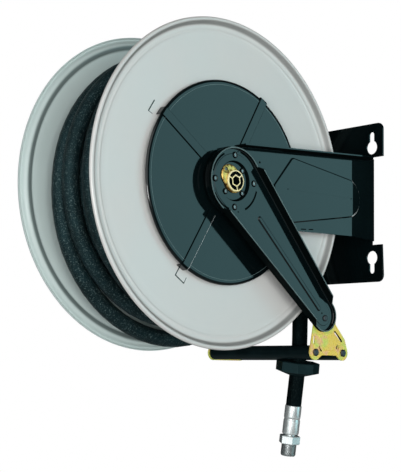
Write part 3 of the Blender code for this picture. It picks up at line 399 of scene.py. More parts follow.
def new_piece(name, mesh, finish, body, slot, nodes, *others):
    """Link a mesh as a finished piece that stands for some solids.

    Marked faces take the other finishes, by their number.
    """
    obj = linked(name, mesh)
    index = [0] * len(mesh.polygons)
    if others:
        mesh.polygons.foreach_get("material_index", index)
    mesh.materials.clear()
    for other in (finish, *others):
        mesh.materials.append(finishes()[other])
    mesh.polygons.foreach_set("material_index", [min(i, len(others)) for i in index])
    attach(obj, body)
    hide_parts(*nodes)
    return obj


def mesh_from(bm, name, sharp=35.0):
    """Mesh with smooth faces and sharp edges by angle."""
    bmesh.ops.recalc_face_normals(bm, faces=bm.faces)
    mesh = bpy.data.meshes.new(name)
    bm.to_mesh(mesh)
    bm.free()
    mesh.shade_smooth()
    mesh.set_sharp_from_angle(angle=math.radians(sharp))
    return mesh


def evaluated(obj):
    """Plain mesh of an object after its modifiers; the object is removed."""
    made = bpy.data.meshes.new_from_object(
        obj.evaluated_get(bpy.context.evaluated_depsgraph_get()))
    bpy.data.objects.remove(obj)
    return made


def settled(mesh, *modifiers, name="settled"):
    """The mesh after some modifiers, as a plain mesh."""
    obj = linked(name, mesh)
    for kind, settings in modifiers:
        modifier = obj.modifiers.new(kind.lower(), kind)
        for key, value in settings.items():
            setattr(modifier, key, value)
    made = evaluated(obj)
    made.name = name
    return made


LARGE_FACES = ("WEIGHTED_NORMAL", {"mode": "FACE_AREA", "weight": 100, "keep_sharp": True})


def rounded(mesh, width, segments=2, angle=30.0, name="rounded"):
    """The mesh with its edges rounded and its flats kept flat."""
    return settled(mesh, ("BEVEL", {
        "width": width, "segments": segments, "limit_method": "ANGLE",
        "angle_limit": math.radians(angle), "harden_normals": False,
        "use_clamp_overlap": True}), LARGE_FACES, name=name)


def flat_shaded(mesh, sharp=30.0, crisp=None):
    """The mesh with its normals led by its large faces.

    Edges for which crisp is true stay sharp whatever their angle.
    """
    mesh.set_sharp_from_angle(angle=math.radians(sharp))
    for edge in mesh.edges:
        if crisp and crisp(*(mesh.vertices[v].co for v in edge.vertices)):
            edge.use_edge_sharp = True
    return settled(mesh, LARGE_FACES, name=mesh.name)


def node_copy(*nodes):
    """Clean copy of some solids: doubles merged and flat faces joined."""
    bm = bmesh.new()
    for node in nodes:
        bm.from_mesh(NODES[node].data)
    bmesh.ops.remove_doubles(bm, verts=bm.verts, dist=2e-6)
    bmesh.ops.dissolve_limit(bm, angle_limit=math.radians(0.6), verts=bm.verts,
                             edges=bm.edges, delimit={"SHARP"})
    bmesh.ops.recalc_face_normals(bm, faces=bm.faces)
    return bm


def polished(name, nodes, finish, body, slot, width):
    """A rounded copy of some solids, as one piece that stands for them."""
    mesh = mesh_from(node_copy(*nodes), name + "_raw", 30.0)
    return new_piece(name, rounded(mesh, width, name=name), finish, body, slot, nodes)


def arc(cy, cz, radius, start, end, steps):
    """Points of an arc from start to end degrees."""
    points = []
    for i in range(steps + 1):
        y, z = polar(radius, start + (end - start) * i / steps)
        points.append((cy + y, cz + z))
    return points


def tapered_capsule(r0, r1, span, steps=24, stops=()):
    """Two circles joined by tangents, with extra points at some stations."""
    lean = math.degrees(math.asin((r0 - r1) / span))
    points = arc(0, 0, r0, 90 - lean, 270 + lean, 2 * steps)
    far = arc(span, 0, r1, -90 + lean, 90 - lean, steps)
    low, high = Vector(points[-1]), Vector(far[0])
    side = [low.lerp(high, (u - low.x) / (high.x - low.x)) for u in stops]
    points += [tuple(p) for p in side] + far
    points += [(p.x, -p.y) for p in reversed(side)]
    return points


def loft(*levels):
    """Closed bmesh through outlines given as (points, x) with equal counts.

    x may be a number or a function of a point.
    """
    bm = bmesh.new()
    rings = []
    for points, x in levels:
        rings.append([bm.verts.new((x(p) if callable(x) else x, p[0], p[1]))
                      for p in points])
    bm.faces.new(rings[0])
    bm.faces.new(rings[-1])
    for a, b in zip(rings, rings[1:]):
        for k in range(len(a)):
            m = (k + 1) % len(a)
            bm.faces.new((a[k], a[m], b[m], b[k]))
    return bm


def placed(bm, place=None, name="block"):
    """Mesh of a bmesh after it has been moved, by default onto the axle."""
    bm.transform(Matrix.Translation(AXLE) if place is None else place)
    return mesh_from(bm, name, 30.0)


def start_tree(name, sockets):
    """Geometry node tree that takes a shape and some named sizes."""
    tree = bpy.data.node_groups.new(name, "GeometryNodeTree")
    tree.interface.new_socket("Shape", in_out="INPUT", socket_type="NodeSocketGeometry")
    for label, kind in sockets:
        tree.interface.new_socket(label, in_out="INPUT", socket_type=f"NodeSocket{kind}")
    tree.interface.new_socket("Finish", in_out="INPUT",
                              socket_type="NodeSocketMaterial")
    tree.interface.new_socket("Piece", in_out="OUTPUT",
                              socket_type="NodeSocketGeometry")
    nodes = Nodes(tree)
    return nodes, nodes.add("NodeGroupInput").outputs


def finish_tree(nodes, shape, given):
    """End a tree in Realize Instances and Set Material."""
    realized = nodes.add("GeometryNodeRealizeInstances")
    nodes.feed(realized.inputs[0], shape)
    painted = nodes.add("GeometryNodeSetMaterial")
    nodes.feed(painted.inputs["Geometry"], realized.outputs[0])
    nodes.feed(painted.inputs["Material"], given["Finish"])
    out = nodes.add("NodeGroupOutput")
    nodes.feed(out.inputs[0], painted.outputs[0])
    return nodes.tree


def spun_sheet_tree():
    """Spins the outline of a sheet's section round X."""
    nodes, given = start_tree("spun_sheet", [("Steps", "Int"), ("Middle", "Vector")])
    section = nodes.add("GeometryNodeMeshToCurve")
    nodes.feed(section.inputs["Mesh"], given["Shape"])
    circle = nodes.add("GeometryNodeCurvePrimitiveCircle")
    circle.inputs["Radius"].default_value = SPIN_RADIUS
    nodes.feed(circle.inputs["Resolution"], given["Steps"])
    swept = nodes.add("GeometryNodeCurveToMesh")
    nodes.feed(swept.inputs["Curve"], circle.outputs["Curve"])
    nodes.feed(swept.inputs["Profile Curve"], section.outputs["Curve"])
    placed = nodes.add("GeometryNodeTransform")
    nodes.feed(placed.inputs["Geometry"], swept.outputs["Mesh"])
    nodes.feed(placed.inputs["Translation"], given["Middle"])
    placed.inputs["Rotation"].default_value = (0, math.pi / 2, 0)
    return finish_tree(nodes, placed.outputs["Geometry"], given)


def screw_ring_tree():
    """Sets one screw again and again on a ring round X."""
    nodes, given = start_tree("screw_ring", [
        ("Count", "Int"), ("Ring radius", "Float"), ("First angle", "Float"),
        ("Middle", "Vector"), ("Twist", "Float")])
    ring = nodes.add("GeometryNodeMeshCircle")
    nodes.feed(ring.inputs["Vertices"], given["Count"])
    nodes.feed(ring.inputs["Radius"], given["Ring radius"])
    upright = nodes.add("GeometryNodeTransform")
    nodes.feed(upright.inputs["Geometry"], ring.outputs["Mesh"])
    upright.inputs["Rotation"].default_value = (math.pi / 2, 0, math.pi / 2)
    first = nodes.add("ShaderNodeCombineXYZ")
    nodes.feed(first.inputs[0], given["First angle"])
    placed = nodes.add("GeometryNodeTransform")
    nodes.feed(placed.inputs["Geometry"], upright.outputs["Geometry"])
    nodes.feed(placed.inputs["Rotation"], first.outputs[0])
    nodes.feed(placed.inputs["Translation"], given["Middle"])
    number = nodes.add("GeometryNodeInputIndex")
    turn = nodes.add("ShaderNodeCombineXYZ")
    nodes.feed(turn.inputs[0], nodes.math("MULTIPLY", number.outputs[0], given["Twist"]))
    copies = nodes.add("GeometryNodeInstanceOnPoints")
    nodes.feed(copies.inputs["Points"], placed.outputs["Geometry"])
    nodes.feed(copies.inputs["Instance"], given["Shape"])
    nodes.feed(copies.inputs["Rotation"], turn.outputs[0])
    return finish_tree(nodes, copies.outputs["Instances"], given)


def grown(mesh, build_tree, finish, values):
    """The plain mesh that a node tree makes of a mesh and some values."""
    tree = bpy.data.node_groups.get(build_tree.__name__) or build_tree()
    tree.name = build_tree.__name__
    obj = linked("grown", mesh)
    modifier = obj.modifiers.new("nodes", "NODES")
    modifier.node_group = tree
    sockets = {item.name: item.identifier for item in tree.interface.items_tree
               if item.in_out == "INPUT"}
    for label, value in values.items():
        modifier[sockets[label]] = value
    modifier[sockets["Finish"]] = finishes()[finish]
    made = evaluated(obj)
    made.polygons.foreach_set("material_index", [0] * len(made.polygons))
    return made


def spun_sheet(name, section, steps, finish, body, slot, nodes, *others, cutters=()):
    """A sheet spun round the axle from its section's (axial, radius) points."""
    outline = bpy.data.meshes.new(name + "_section")
    count = len(section)
    outline.from_pydata([(r - SPIN_RADIUS, -x, 0) for x, r in section],
                        [(k, (k + 1) % count) for k in range(count)], [])
    mesh = grown(outline, spun_sheet_tree, finish, {"Steps": steps, "Middle": AXLE})
    mesh = tidy_mesh(mesh, name, 30.0)
    if cutters:
        mesh = flat_shaded(cut(mesh, *cutters))
    return new_piece(name, mesh, finish, body, slot, nodes, *others)


def tidy_mesh(mesh, name, sharp):
    """The mesh with its doubles merged and its normals outwards."""
    bm = bmesh.new()
    bm.from_mesh(mesh)
    bmesh.ops.remove_doubles(bm, verts=bm.verts, dist=1e-6)
    return mesh_from(bm, name, sharp)


def sheet_section(line, thickness):
    """Closed section of a pressed sheet from the line of its outer face."""
    inner = []
    for i, here in enumerate(line):
        along = Vector(line[min(i + 1, len(line) - 1)]) - Vector(line[max(i - 1, 0)])
        along.normalize()
        inner.append((here[0] - along.y * thickness, here[1] + along.x * thickness))
    return list(line) + inner[::-1]


def turned(profile, steps, centre=None, along=None):
    """Solid of revolution from (axial, radius) points, as a bmesh.

    It turns about X through the axle, or about another line. A profile
    that starts and ends on the axis is closed there.
    """
    bm = bmesh.new()
    closed = profile[0][1] > 0
    rings = []
    for axial, radius in profile:
        if radius <= 0:
            rings.append([bm.verts.new((axial, 0, 0))])
            continue
        ring = []
        for k in range(steps):
            y, z = polar(radius, 360 * k / steps)
            ring.append(bm.verts.new((axial, y, z)))
        rings.append(ring)
    pairs = list(zip(rings, rings[1:]))
    if closed:
        pairs.append((rings[-1], rings[0]))
    for a, b in pairs:
        for k in range(steps):
            m = (k + 1) % steps
            corners = [a[k % len(a)], a[m % len(a)], b[m % len(b)], b[k % len(b)]]
            corners = list(dict.fromkeys(corners))
            if len(corners) > 2:
                bm.faces.new(corners)
    centre = AXLE if centre is None else centre
    turn = Matrix.Identity(4)
    if along is not None:
        turn = Vector((1, 0, 0)).rotation_difference(along).to_matrix().to_4x4()
    bm.transform(Matrix.Translation(centre) @ turn)
    return bm


# Thickness of the washer under a screw's head, in mm
WASHER = 0.4


def button_screw(head_r, head_h, socket_r, shank, facing):
    """Button-head screw with a hexagon socket, seated at the origin along X."""
    dome = [(head_h * 0.22, head_r)]
    for k in range(1, 6):
        angle = math.radians(90 - 13 * k)
        dome.append((head_h * (0.22 + 0.78 * math.cos(angle)), head_r * math.sin(angle)))
    shank_r, washer, washer_r = socket_r * 0.9, WASHER * MM, head_r * 1.2
    profile = [(-shank, 0), (-shank, shank_r), (0, shank_r), (0, washer_r),
               (washer, washer_r), (washer, head_r * 0.97), *dome, (head_h, 0)]
    bm = turned(profile, 36, Vector())
    socket = bmesh.new()
    bmesh.ops.create_cone(socket, cap_ends=True, segments=6, radius1=socket_r,
                          radius2=socket_r, depth=head_h * 2.4)
    socket.transform(Matrix.Translation((head_h * 1.7, 0, 0))
                     @ Matrix.Rotation(math.pi / 2, 4, "Y"))
    mesh = cut(mesh_from(bm, "screw"), mesh_from(socket, "socket"))
    mesh.transform(Matrix.Rotation(0 if facing > 0 else math.pi, 4, "Z"))
    return mesh


def combined(mesh, operation, others):
    """The mesh after other closed meshes are joined to it or cut from it."""
    helpers = [linked("helper", other) for other in others]
    steps = [("BOOLEAN", {"object": helper, "operation": operation, "solver": "EXACT",
                          "material_mode": "TRANSFER"}) for helper in helpers]
    made = settled(mesh, *steps, name=mesh.name)
    for helper in helpers:
        bpy.data.objects.remove(helper)
    return made


def cut(mesh, *cutters):
    """The mesh with the space of some closed meshes taken out of it."""
    if any(cutter.materials for cutter in cutters):
        shade_faces(mesh, lambda at, facing: False)
    return combined(mesh, "DIFFERENCE", cutters)


def joined(mesh, *others):
    """The mesh joined with some closed meshes that overlap it."""
    return combined(mesh, "UNION", others)


# Placeholder slots of cutters; on every piece, the finishes after the first are painted shade
# and painted highlights
SLOT_NAMES = ("outside", "inside", "edge", "pale")


def shade_faces(mesh, test, number=1):
    """Give the faces that pass a test one of the piece's other finishes."""
    if len(mesh.materials) < len(SLOT_NAMES):
        index = [0] * len(mesh.polygons)
        mesh.polygons.foreach_get("material_index", index)
        marked(mesh)
        mesh.polygons.foreach_set("material_index", index)
    for face in mesh.polygons:
        if test(face.center, face.normal):
            face.material_index = number
    return mesh


def marked(mesh):
    """A cutter whose faces take the piece's second finish."""
    mesh.materials.clear()
    for name in SLOT_NAMES:
        if name not in bpy.data.materials:
            bpy.data.materials.new(name)
        mesh.materials.append(bpy.data.materials[name])
    mesh.polygons.foreach_set("material_index", [1] * len(mesh.polygons))
    return mesh


def slot_cutter(x0, x1, start, end, width, place=None):
    """Round-ended slot between two (y, z) points, as a closed mesh."""
    a, b = Vector(start), Vector(end)
    along = b - a
    turn = math.atan2(along.y, along.x)
    outline = arc(0, 0, width / 2, 90, 270, 8) + arc(along.length, 0, width / 2,
                                                    -90, 90, 8)
    bm = loft((outline, x0), (outline, x1))
    bm.transform(Matrix.Translation((0, a.x, a.y)) @ Matrix.Rotation(turn, 4, "X"))
    return placed(bm, place)


def slot_cutters(rows, x0, x1):
    """Marked slots from rows of (start, end, width) in mm."""
    return [marked(slot_cutter(x0, x1, mm(start), mm(end), width * MM))
            for start, end, width in rows]


def hole_cutter(x0, x1, y, z, radius, place=None, steps=20):
    """Round hole along X, as a closed mesh."""
    outline = arc(0, 0, radius, 0, 360 - 360 / steps, steps - 1)
    bm = loft((outline, x0), (outline, x1))
    bm.transform(Matrix.Translation((0, y, z)))
    return placed(bm, place)


def soft_profile(points, radius):
    """Round the inner corners of an open profile."""
    steps = 3
    out = [points[0]]
    for before, here, after in zip(points, points[1:], points[2:]):
        p, a, b = Vector(here), Vector(before) - Vector(here), Vector(after) - Vector(here)
        reach = min(radius, a.length * 0.45, b.length * 0.45)
        start, end = p + a.normalized() * reach, p + b.normalized() * reach
        for k in range(steps + 1):
            t = k / steps
            out.append(tuple((1 - t) ** 2 * start + 2 * t * (1 - t) * p + t * t * end))
    out.append(points[-1])
    return out


# -------------------------------------------------------------------- camera

# Place in metres; turn, lift and roll in degrees; lens and sensor in mm
CAMERA_PLACE = (1.62464, -1.74725, -0.30663)
CAMERA_TURN = (48.577, -6.043, 0.739)
LENS = 99.05568
SENSOR = 36.0


class REEL_OT_camera(bpy.types.Operator):
    """Place the camera in front of the arms, a little below the axle."""

    bl_idname = "reel.camera"
    bl_label = "Camera"

    def execute(self, context):
        turn, lift, roll = (math.radians(x) for x in CAMERA_TURN)
        back = Vector((math.sin(turn) * math.cos(lift),
                       -math.cos(turn) * math.cos(lift), math.sin(lift)))
        right = Vector((math.cos(turn), math.sin(turn), 0))
        up = back.cross(right)
        across = math.cos(roll) * right + math.sin(roll) * up
        upward = -math.sin(roll) * right + math.cos(roll) * up
        data = bpy.data.cameras.new("camera")
        data.sensor_width = SENSOR
        data.lens = LENS
        data.clip_start = 0.05
        data.clip_end = 60.0
        camera = linked("camera", data)
        axes = Matrix((across, upward, back)).transposed().to_4x4()
        camera.matrix_world = Matrix.Translation(CAMERA_PLACE) @ axes
        context.scene.camera = camera
        context.scene.view_settings.view_transform = "Standard"
        return {"FINISHED"}


# --------------------------------------------------------------------- stage

FLOOR_DROP = 1.25
FLOOR_RADIUS = 2.6
LAMP_FAR = 4.0
# name, turn and lift in degrees, width, height, power
LAMPS = (("edge_lamp", -56.0, -9.0, 1.3, 0.8, 56.0),)


# Middle (turn, lift), half size and soft edge in degrees, and colour
PANELS = (((32.0, 8.0), (17.6, 24.0), 0.1, (0.74, 1.50, 1.61)),
          ((-60.0, 14.0), (40.0, 30.0), 4.0, (1.3, 1.35, 1.35)))
SOFT_BOX = ((-22.0, -4.0), (22.0, 18.0), 6.0, (4.42, 4.54, 4.52))
ROOM_LIGHT = (0.10, 0.12, 0.12)
DARK_ROOM = (0.004, 0.008, 0.009)


def panel_mask(tree, turn, lift, middle, half, edge):
    """1 inside a panel seen at some turn and lift in degrees, 0 outside."""
    away = tree.math("ABSOLUTE", tree.math("WRAP", tree.math("SUBTRACT", turn, middle[0]),
                                           -180.0, 180.0))
    across = tree.ramp(away, half[0] + edge, half[0] - edge)
    away = tree.math("ABSOLUTE", tree.math("SUBTRACT", lift, middle[1]))
    upward = tree.ramp(away, half[1] + edge, half[1] - edge)
    return tree.math("MULTIPLY", across, upward)


def build_world(scene):
    """Soft studio: even light for matt surfaces, dark with panels for gloss."""
    world = bpy.data.worlds.new("studio")
    scene.world = world
    world.use_nodes = True
    world.node_tree.nodes.clear()
    tree = Nodes(world.node_tree)
    coords = tree.add("ShaderNodeTexCoord")
    split = tree.add("ShaderNodeSeparateXYZ")
    tree.link(coords.outputs["Generated"], split.inputs[0])
    turn = tree.math("DEGREES", tree.math("ARCTAN2", split.outputs[1], split.outputs[0]))
    lift = tree.math("DEGREES", tree.math("ARCSINE", split.outputs[2]))
    seen = DARK_ROOM
    for middle, half, edge, shade in PANELS:
        seen = tree.mix(panel_mask(tree, turn, lift, middle, half, edge), seen, shade)
    overhead = tree.math("MULTIPLY", tree.ramp(lift, 40.0, 80.0), 0.3)
    seen = tree.mix(overhead, seen, (0.3, 0.35, 0.36))
    middle, half, edge, shade = SOFT_BOX
    lobe = panel_mask(tree, turn, lift, middle, half, edge)
    soft = tree.mix(lobe, ROOM_LIGHT, shade)
    path = tree.add("ShaderNodeLightPath")
    mirror = tree.math("MAXIMUM", path.outputs["Is Glossy Ray"],
                       path.outputs["Is Transmission Ray"])
    lit = tree.mix(mirror, soft, seen)
    shown = tree.mix(path.outputs["Is Camera Ray"], lit, (1.0, 1.0, 1.0))
    background = tree.add("ShaderNodeBackground")
    tree.feed(background.inputs["Color"], shown)
    out = tree.add("ShaderNodeOutputWorld")
    tree.link(background.outputs[0], out.inputs[0])


def soft_lamp(name, turn, lift, width, height, power):
    """Square lamp that looks at the axle from some turn and lift in degrees."""
    data = bpy.data.lights.new(name, "AREA")
    data.shape = "RECTANGLE"
    data.size = width
    data.size_y = height
    data.energy = power
    lamp = linked(name, data)
    turn, lift = math.radians(turn), math.radians(lift)
    away = Vector((math.cos(turn) * math.cos(lift), math.sin(turn) * math.cos(lift),
                   math.sin(lift)))
    across = Vector((0, 0, 1)).cross(away).normalized()
    axes = Matrix((across, away.cross(across), away)).transposed().to_4x4()
    lamp.matrix_world = Matrix.Translation(AXLE + away * LAMP_FAR) @ axes


class REEL_OT_stage(bpy.types.Operator):
    """Make the pale floor, the studio and its lamps."""

    bl_idname = "reel.stage"
    bl_label = "Floor and studio"

    def execute(self, context):
        build_world(context.scene)
        for lamp in LAMPS:
            soft_lamp(*lamp)
        bm = bmesh.new()
        bmesh.ops.create_circle(bm, cap_ends=True, radius=FLOOR_RADIUS, segments=96)
        bm.transform(Matrix.Translation((0, AXLE.y, -FLOOR_DROP)))
        mesh = mesh_from(bm, "floor")
        floor = linked("floor", mesh)
        tree, shader, place = start_material("pale_floor", 0.9)
        grain = tree.noise(place, 14.0, 3.0)
        tree.feed(shader.inputs["Base Color"],
                  tree.mix(grain, (0.84, 0.84, 0.84), (0.88, 0.88, 0.88)))
        glow = tree.add("ShaderNodeEmission")
        glow.inputs["Strength"].default_value = 1.0
        both = tree.add("ShaderNodeMixShader")
        path = tree.add("ShaderNodeLightPath")
        tree.feed(both.inputs[0], tree.math("MULTIPLY", path.outputs["Is Camera Ray"], 0.7))
        tree.link(shader.outputs[0], both.inputs[1])
        tree.link(glow.outputs[0], both.inputs[2])
        tree.link(both.outputs[0], tree.tree.nodes["Material Output"].inputs[0])
        mesh.materials.append(bpy.data.materials["pale_floor"])
        return {"FINISHED"}


# ---------------------------------------------------------------------- hose

HOSE_SIDES = 20
RINGS_PER_TURN = 60
RUN_X = 73 * MM
MOUTH_X = -70 * MM
LAYER_STEP = 2.03
LAYER_GAP = 0.3 * MM
START_ANGLE = 90.0
RUN_ANGLE = 60.0
LOOSE_TURN_X = -49.5 * MM
LOOSE_TURN_R = 235.8 * MM
LOOSE_TURN_SHIFT = (15.4 * MM, -13 * MM)
HOSE_ROUTE_BELOW = ((72.0, 198.6, -70), (66.2, 206.6, -150), (57.8, 214.6, -222),
                    (52.4, 218.8, -262), (46.6, 220.2, -300), (40.5, 220.4, -340),
                    (37.6, 220.4, -359))


def layer_radius(number):
    """Radius at the middle of the hose in a layer, counted from 0."""
    s = sizes()
    return s.drum_radius + s.hose_radius * (1 + LAYER_STEP * number) + LAYER_GAP


def loose_radius(turns):
    """Radius of the loose turn, which hangs lower than the drum's middle."""
    y, z = LOOSE_TURN_SHIFT
    angle = math.radians(START_ANGLE - 360 * turns)
    return LOOSE_TURN_R + y * math.cos(angle) + z * math.sin(angle)


def winding_keys():
    """(turns so far, x, radius) along the wound hose.

    Three layers of even turns, two turns laid on them, one loose turn that
    hangs low, and the way back over them to the last free turn.
    """
    pitch = sizes().turn_pitch
    side = 2.5 * pitch
    first, second, third, fourth = (layer_radius(n) for n in range(4))
    over = fourth + 2.1 * sizes().hose_radius
    return [(0.0, MOUTH_X, first), (0.12, -side, first), (5.2, side, first),
            (5.5, side, second), (10.5, -side, second), (10.8, -side, third),
            (14.9, side - pitch, third), (15.0, side - pitch, third),
            (15.42, 30 * MM, fourth), (15.97, 30 * MM, fourth),
            (16.44, -22 * MM, fourth), (16.97, -22 * MM, fourth),
            (17.25, -40 * MM, 238 * MM),
            *((t, LOOSE_TURN_X, loose_radius(t)) for t in (17.46, 17.55, 17.66, 17.77,
                                                           17.88)),
            (17.96, -48 * MM, loose_radius(17.96)), (18.08, -33 * MM, over),
            (18.26, 12 * MM, over), (18.36, 38 * MM, 236 * MM),
            (18.50, RUN_X, third), (19.0, RUN_X, third),
            (19 + (START_ANGLE - RUN_ANGLE) / 360, RUN_X, third)]


def smooth_keys(at, keys):
    """Values between keys, with level tangents where a value rests."""
    times = np.array([k[0] for k in keys])
    values = np.array([k[1:] for k in keys])
    steps = np.diff(times)[:, None]
    slopes = np.diff(values, axis=0) / steps
    tangents = np.zeros_like(values)
    for i in range(1, len(keys) - 1):
        a, b = slopes[i - 1], slopes[i]
        same = a * b > 0
        tangents[i] = np.where(same, 2 * a * b / np.where(same, a + b, 1), 0)
    i = np.clip(np.searchsorted(times, at, side="right") - 1, 0, len(keys) - 2)
    t = ((at - times[i]) / steps[i, 0])[:, None]
    h = steps[i]
    return ((2 * t ** 3 - 3 * t ** 2 + 1) * values[i] + (t ** 3 - 2 * t ** 2 + t) * h
            * tangents[i] + (3 * t ** 2 - 2 * t ** 3) * values[i + 1]
            + (t ** 3 - t ** 2) * h * tangents[i + 1])


def winding_route():
    """Points down the middle of the hose on the drum."""
    keys = winding_keys()
    last = keys[-1][0]
    at = np.linspace(0, last, int(last * RINGS_PER_TURN) + 1)
    found = smooth_keys(at, keys)
    angle = np.radians(START_ANGLE - 360 * at)
    return np.stack([found[:, 0], AXLE.y + found[:, 1] * np.cos(angle),
                     AXLE.z + found[:, 1] * np.sin(angle)], axis=1)


def hanging_route():
    """Points down the middle of the hose from its last turn to the fitting."""
    radius = layer_radius(2)
    points = [from_axle(RUN_X, *polar(radius, angle)) for angle in range(60, 4, -5)]
    points += [from_axle(*mm(point)) for point in HOSE_ROUTE_BELOW]
    return np.array(smooth_line(points, 6))


def smooth_line(points, per_span):
    """Points of a smooth curve through the given ones."""
    line = [Vector(p) for p in points]
    line = [line[0] * 2 - line[1]] + line + [line[-1] * 2 - line[-2]]
    out = []
    for a, b, c, d in zip(line, line[1:], line[2:], line[3:]):
        ab, bc, cd = (b - a).length, (c - b).length, (d - c).length
        m1 = ((b - a) / ab * bc + (c - b) * (ab / bc)) * bc / (ab + bc)
        m2 = ((c - b) * (cd / bc) + (d - c) / cd * bc) * bc / (bc + cd)
        for k in range(per_span):
            t = k / per_span
            out.append((2 * t ** 3 - 3 * t ** 2 + 1) * b + (t ** 3 - 2 * t ** 2 + t) * m1
                       + (3 * t ** 2 - 2 * t ** 3) * c + (t ** 3 - t ** 2) * m2)
    out.append(line[-2])
    return out


def swept_tube(line, radius, sides, name):
    """Closed tube along a line, with a UV map round and along it."""
    line = np.asarray(line, float)
    along = np.gradient(line, axis=0)
    along /= np.linalg.norm(along, axis=1)[:, None]
    normal = np.cross(along[0], (1.0, 0.0, 0.0))
    normals = []
    for tangent in along:
        normal = normal - tangent * (normal @ tangent)
        normal /= np.linalg.norm(normal)
        normals.append(normal)
    normals = np.array(normals)
    across = np.cross(along, normals)
    angles = np.linspace(0, math.tau, sides, endpoint=False)
    rings = (line[:, None] + radius * (np.cos(angles)[None, :, None] * normals[:, None]
                                       + np.sin(angles)[None, :, None]
                                       * across[:, None]))
    count = len(line)
    verts = rings.reshape(-1, 3)
    i, k = np.meshgrid(np.arange(count - 1), np.arange(sides), indexing="ij")
    m = (k + 1) % sides
    quads = np.stack([i * sides + k, i * sides + m, (i + 1) * sides + m,
                      (i + 1) * sides + k], axis=-1).reshape(-1, 4)
    faces = [tuple(q) for q in quads.tolist()]
    faces.append(tuple(range(sides))[::-1])
    faces.append(tuple(range((count - 1) * sides, count * sides)))
    mesh = bpy.data.meshes.new(name)
    mesh.from_pydata(verts.tolist(), [], faces)
    run = np.concatenate([[0], np.cumsum(np.linalg.norm(np.diff(line, axis=0), axis=1))])
    run /= math.tau * radius
    layer = mesh.uv_layers.new(name="around_along")
    uv = np.zeros((len(mesh.loops), 2))
    flat_i, flat_k = i.reshape(-1), k.reshape(-1)
    corners = np.stack([np.stack([flat_k, flat_k + 1, flat_k + 1, flat_k], 1) / sides,
                        np.stack([run[flat_i], run[flat_i], run[flat_i + 1],
                                  run[flat_i + 1]], 1)], axis=-1)
    uv[:len(quads) * 4] = corners.reshape(-1, 2)
    layer.data.foreach_set("uv", uv.ravel())
    mesh.shade_smooth()
    mesh.set_sharp_from_angle(angle=math.radians(60))
    return mesh


class REEL_OT_winding(bpy.types.Operator):
    """Wind the hose on the drum, turn by turn."""

    bl_idname = "reel.winding"
    bl_label = "Wound hose"

    def execute(self, context):
        line = winding_route()
        radius = sizes().hose_radius
        mesh = swept_tube(line, radius, HOSE_SIDES, "wound_hose")
        hose = new_piece("wound_hose", mesh, "hose_cover", "drum", "black_rubber",
                         ["hose_winding"])
        return {"FINISHED"}


class REEL_OT_hanging_hose(bpy.types.Operator):
    """Lead the hose from its last turn through the rollers to its fitting."""

    bl_idname = "reel.hanging_hose"
    bl_label = "Hanging hose"

    def execute(self, context):
        line = hanging_route()
        radius = sizes().hose_radius
        mesh = swept_tube(line, radius, HOSE_SIDES + 8, "hanging_hose")
        hose = new_piece("hanging_hose", mesh, "hose_cover_shaded", "guide_arm",
                         "black_rubber", ["hose_run"])
        ends = [build_stop(), build_ferrule(), build_fitting()]
        return {"FINISHED"}


def hose_end():
    """The point where the hose meets its ferrule, and the way back up."""
    before, end = (from_axle(*mm(point)) for point in HOSE_ROUTE_BELOW[-2:])
    return end, (before - end).normalized()


# The stop's top face stands a little above its solid's
STOP_TOP = 15 * MM
STOP_RAISE = 3.4 * MM


def build_stop():
    """Eight-sided rubber stop clamped on the hose."""
    bm = node_copy("hose_stop")
    top = max(v.co.z for v in bm.verts)
    for vert in bm.verts:
        if vert.co.z > top - STOP_TOP:
            vert.co.z += STOP_RAISE
    mesh = rounded(mesh_from(bm, "hose_stop_block"), 1.1 * MM, 3, 25.0, "hose_stop_block")
    return new_piece("hose_stop_block", mesh, "rubber_black", "guide_arm",
                     "black_rubber", ["hose_stop"])


def build_ferrule():
    """Crimped sleeve with a groove in its middle."""
    end, up = hose_end()
    r = 14.3
    profile = [(-0.3, 9.4), (-0.3, 13.7), (-1.3, r), (-20.5, r), (-22.6, r - 0.8),
               (-24.4, r - 0.8), (-26.5, r), (-48.5, r), (-49.8, 13.5), (-49.8, 9.4)]
    points = soft_profile([mm(point) for point in profile], 0.8 * MM)
    bm = turned(points, 72, end, up)
    return new_piece("crimped_ferrule", mesh_from(bm, "crimped_ferrule"), "zinc_plate",
                     "guide_arm", "bright_zinc", ["ferrule"])


def build_fitting():
    """Fitting with its hexagon and cut outside thread."""
    end, up = hose_end()
    profile = [(-6, 7), (-6, 9), (-52.5, 9), (-52.5, 15.4), (-66, 15.4), (-66, 11.4)]
    crest, root, pitch, at = 13.0, 11.9, 1.8, -67.6
    while at > -85.5:
        profile += [(at, root), (at - 0.55, crest), (at - 1.0, crest), (at - 1.55, root)]
        at -= pitch
    profile += [(-86, 12.4), (-87.5, 11.4), (-87.5, 7)]
    bm = turned([mm(point) for point in profile], 64, end, up)
    mesh = mesh_from(bm, "threaded_fitting", 25.0)
    turn = Vector((1, 0, 0)).rotation_difference(up).to_matrix().to_4x4()
    place = Matrix.Translation(end) @ turn
    corners = [arc(0, 0, r * MM, 0, 300, 5) for r in (17.2, 18.4, 18.4, 17.2)]
    hexagon = loft(*zip(corners, (-66.6 * MM, -65.4 * MM, -53.3 * MM, -52.2 * MM)))
    bore = hole_cutter(-70 * MM, -50 * MM, 0, 0, 8 * MM, place, 48)
    nut = cut(placed(hexagon, place), bore)
    # The thread's flanks take painted shade
    mesh = shade_faces(joined(mesh, nut), lambda at, way:
                       66.5 * MM < (end - at).dot(up) < 86 * MM
                       and abs(way.dot(up)) > 0.3)
    return new_piece("threaded_fitting", flat_shaded(mesh, 25.0), "zinc_plate",
                     "guide_arm", "bright_zinc", ["hose_fitting"], "shaded_seam")


# -------------------------------------------------------------------- pieces

DISC_STEPS = 240
PAN_STEPS = 200
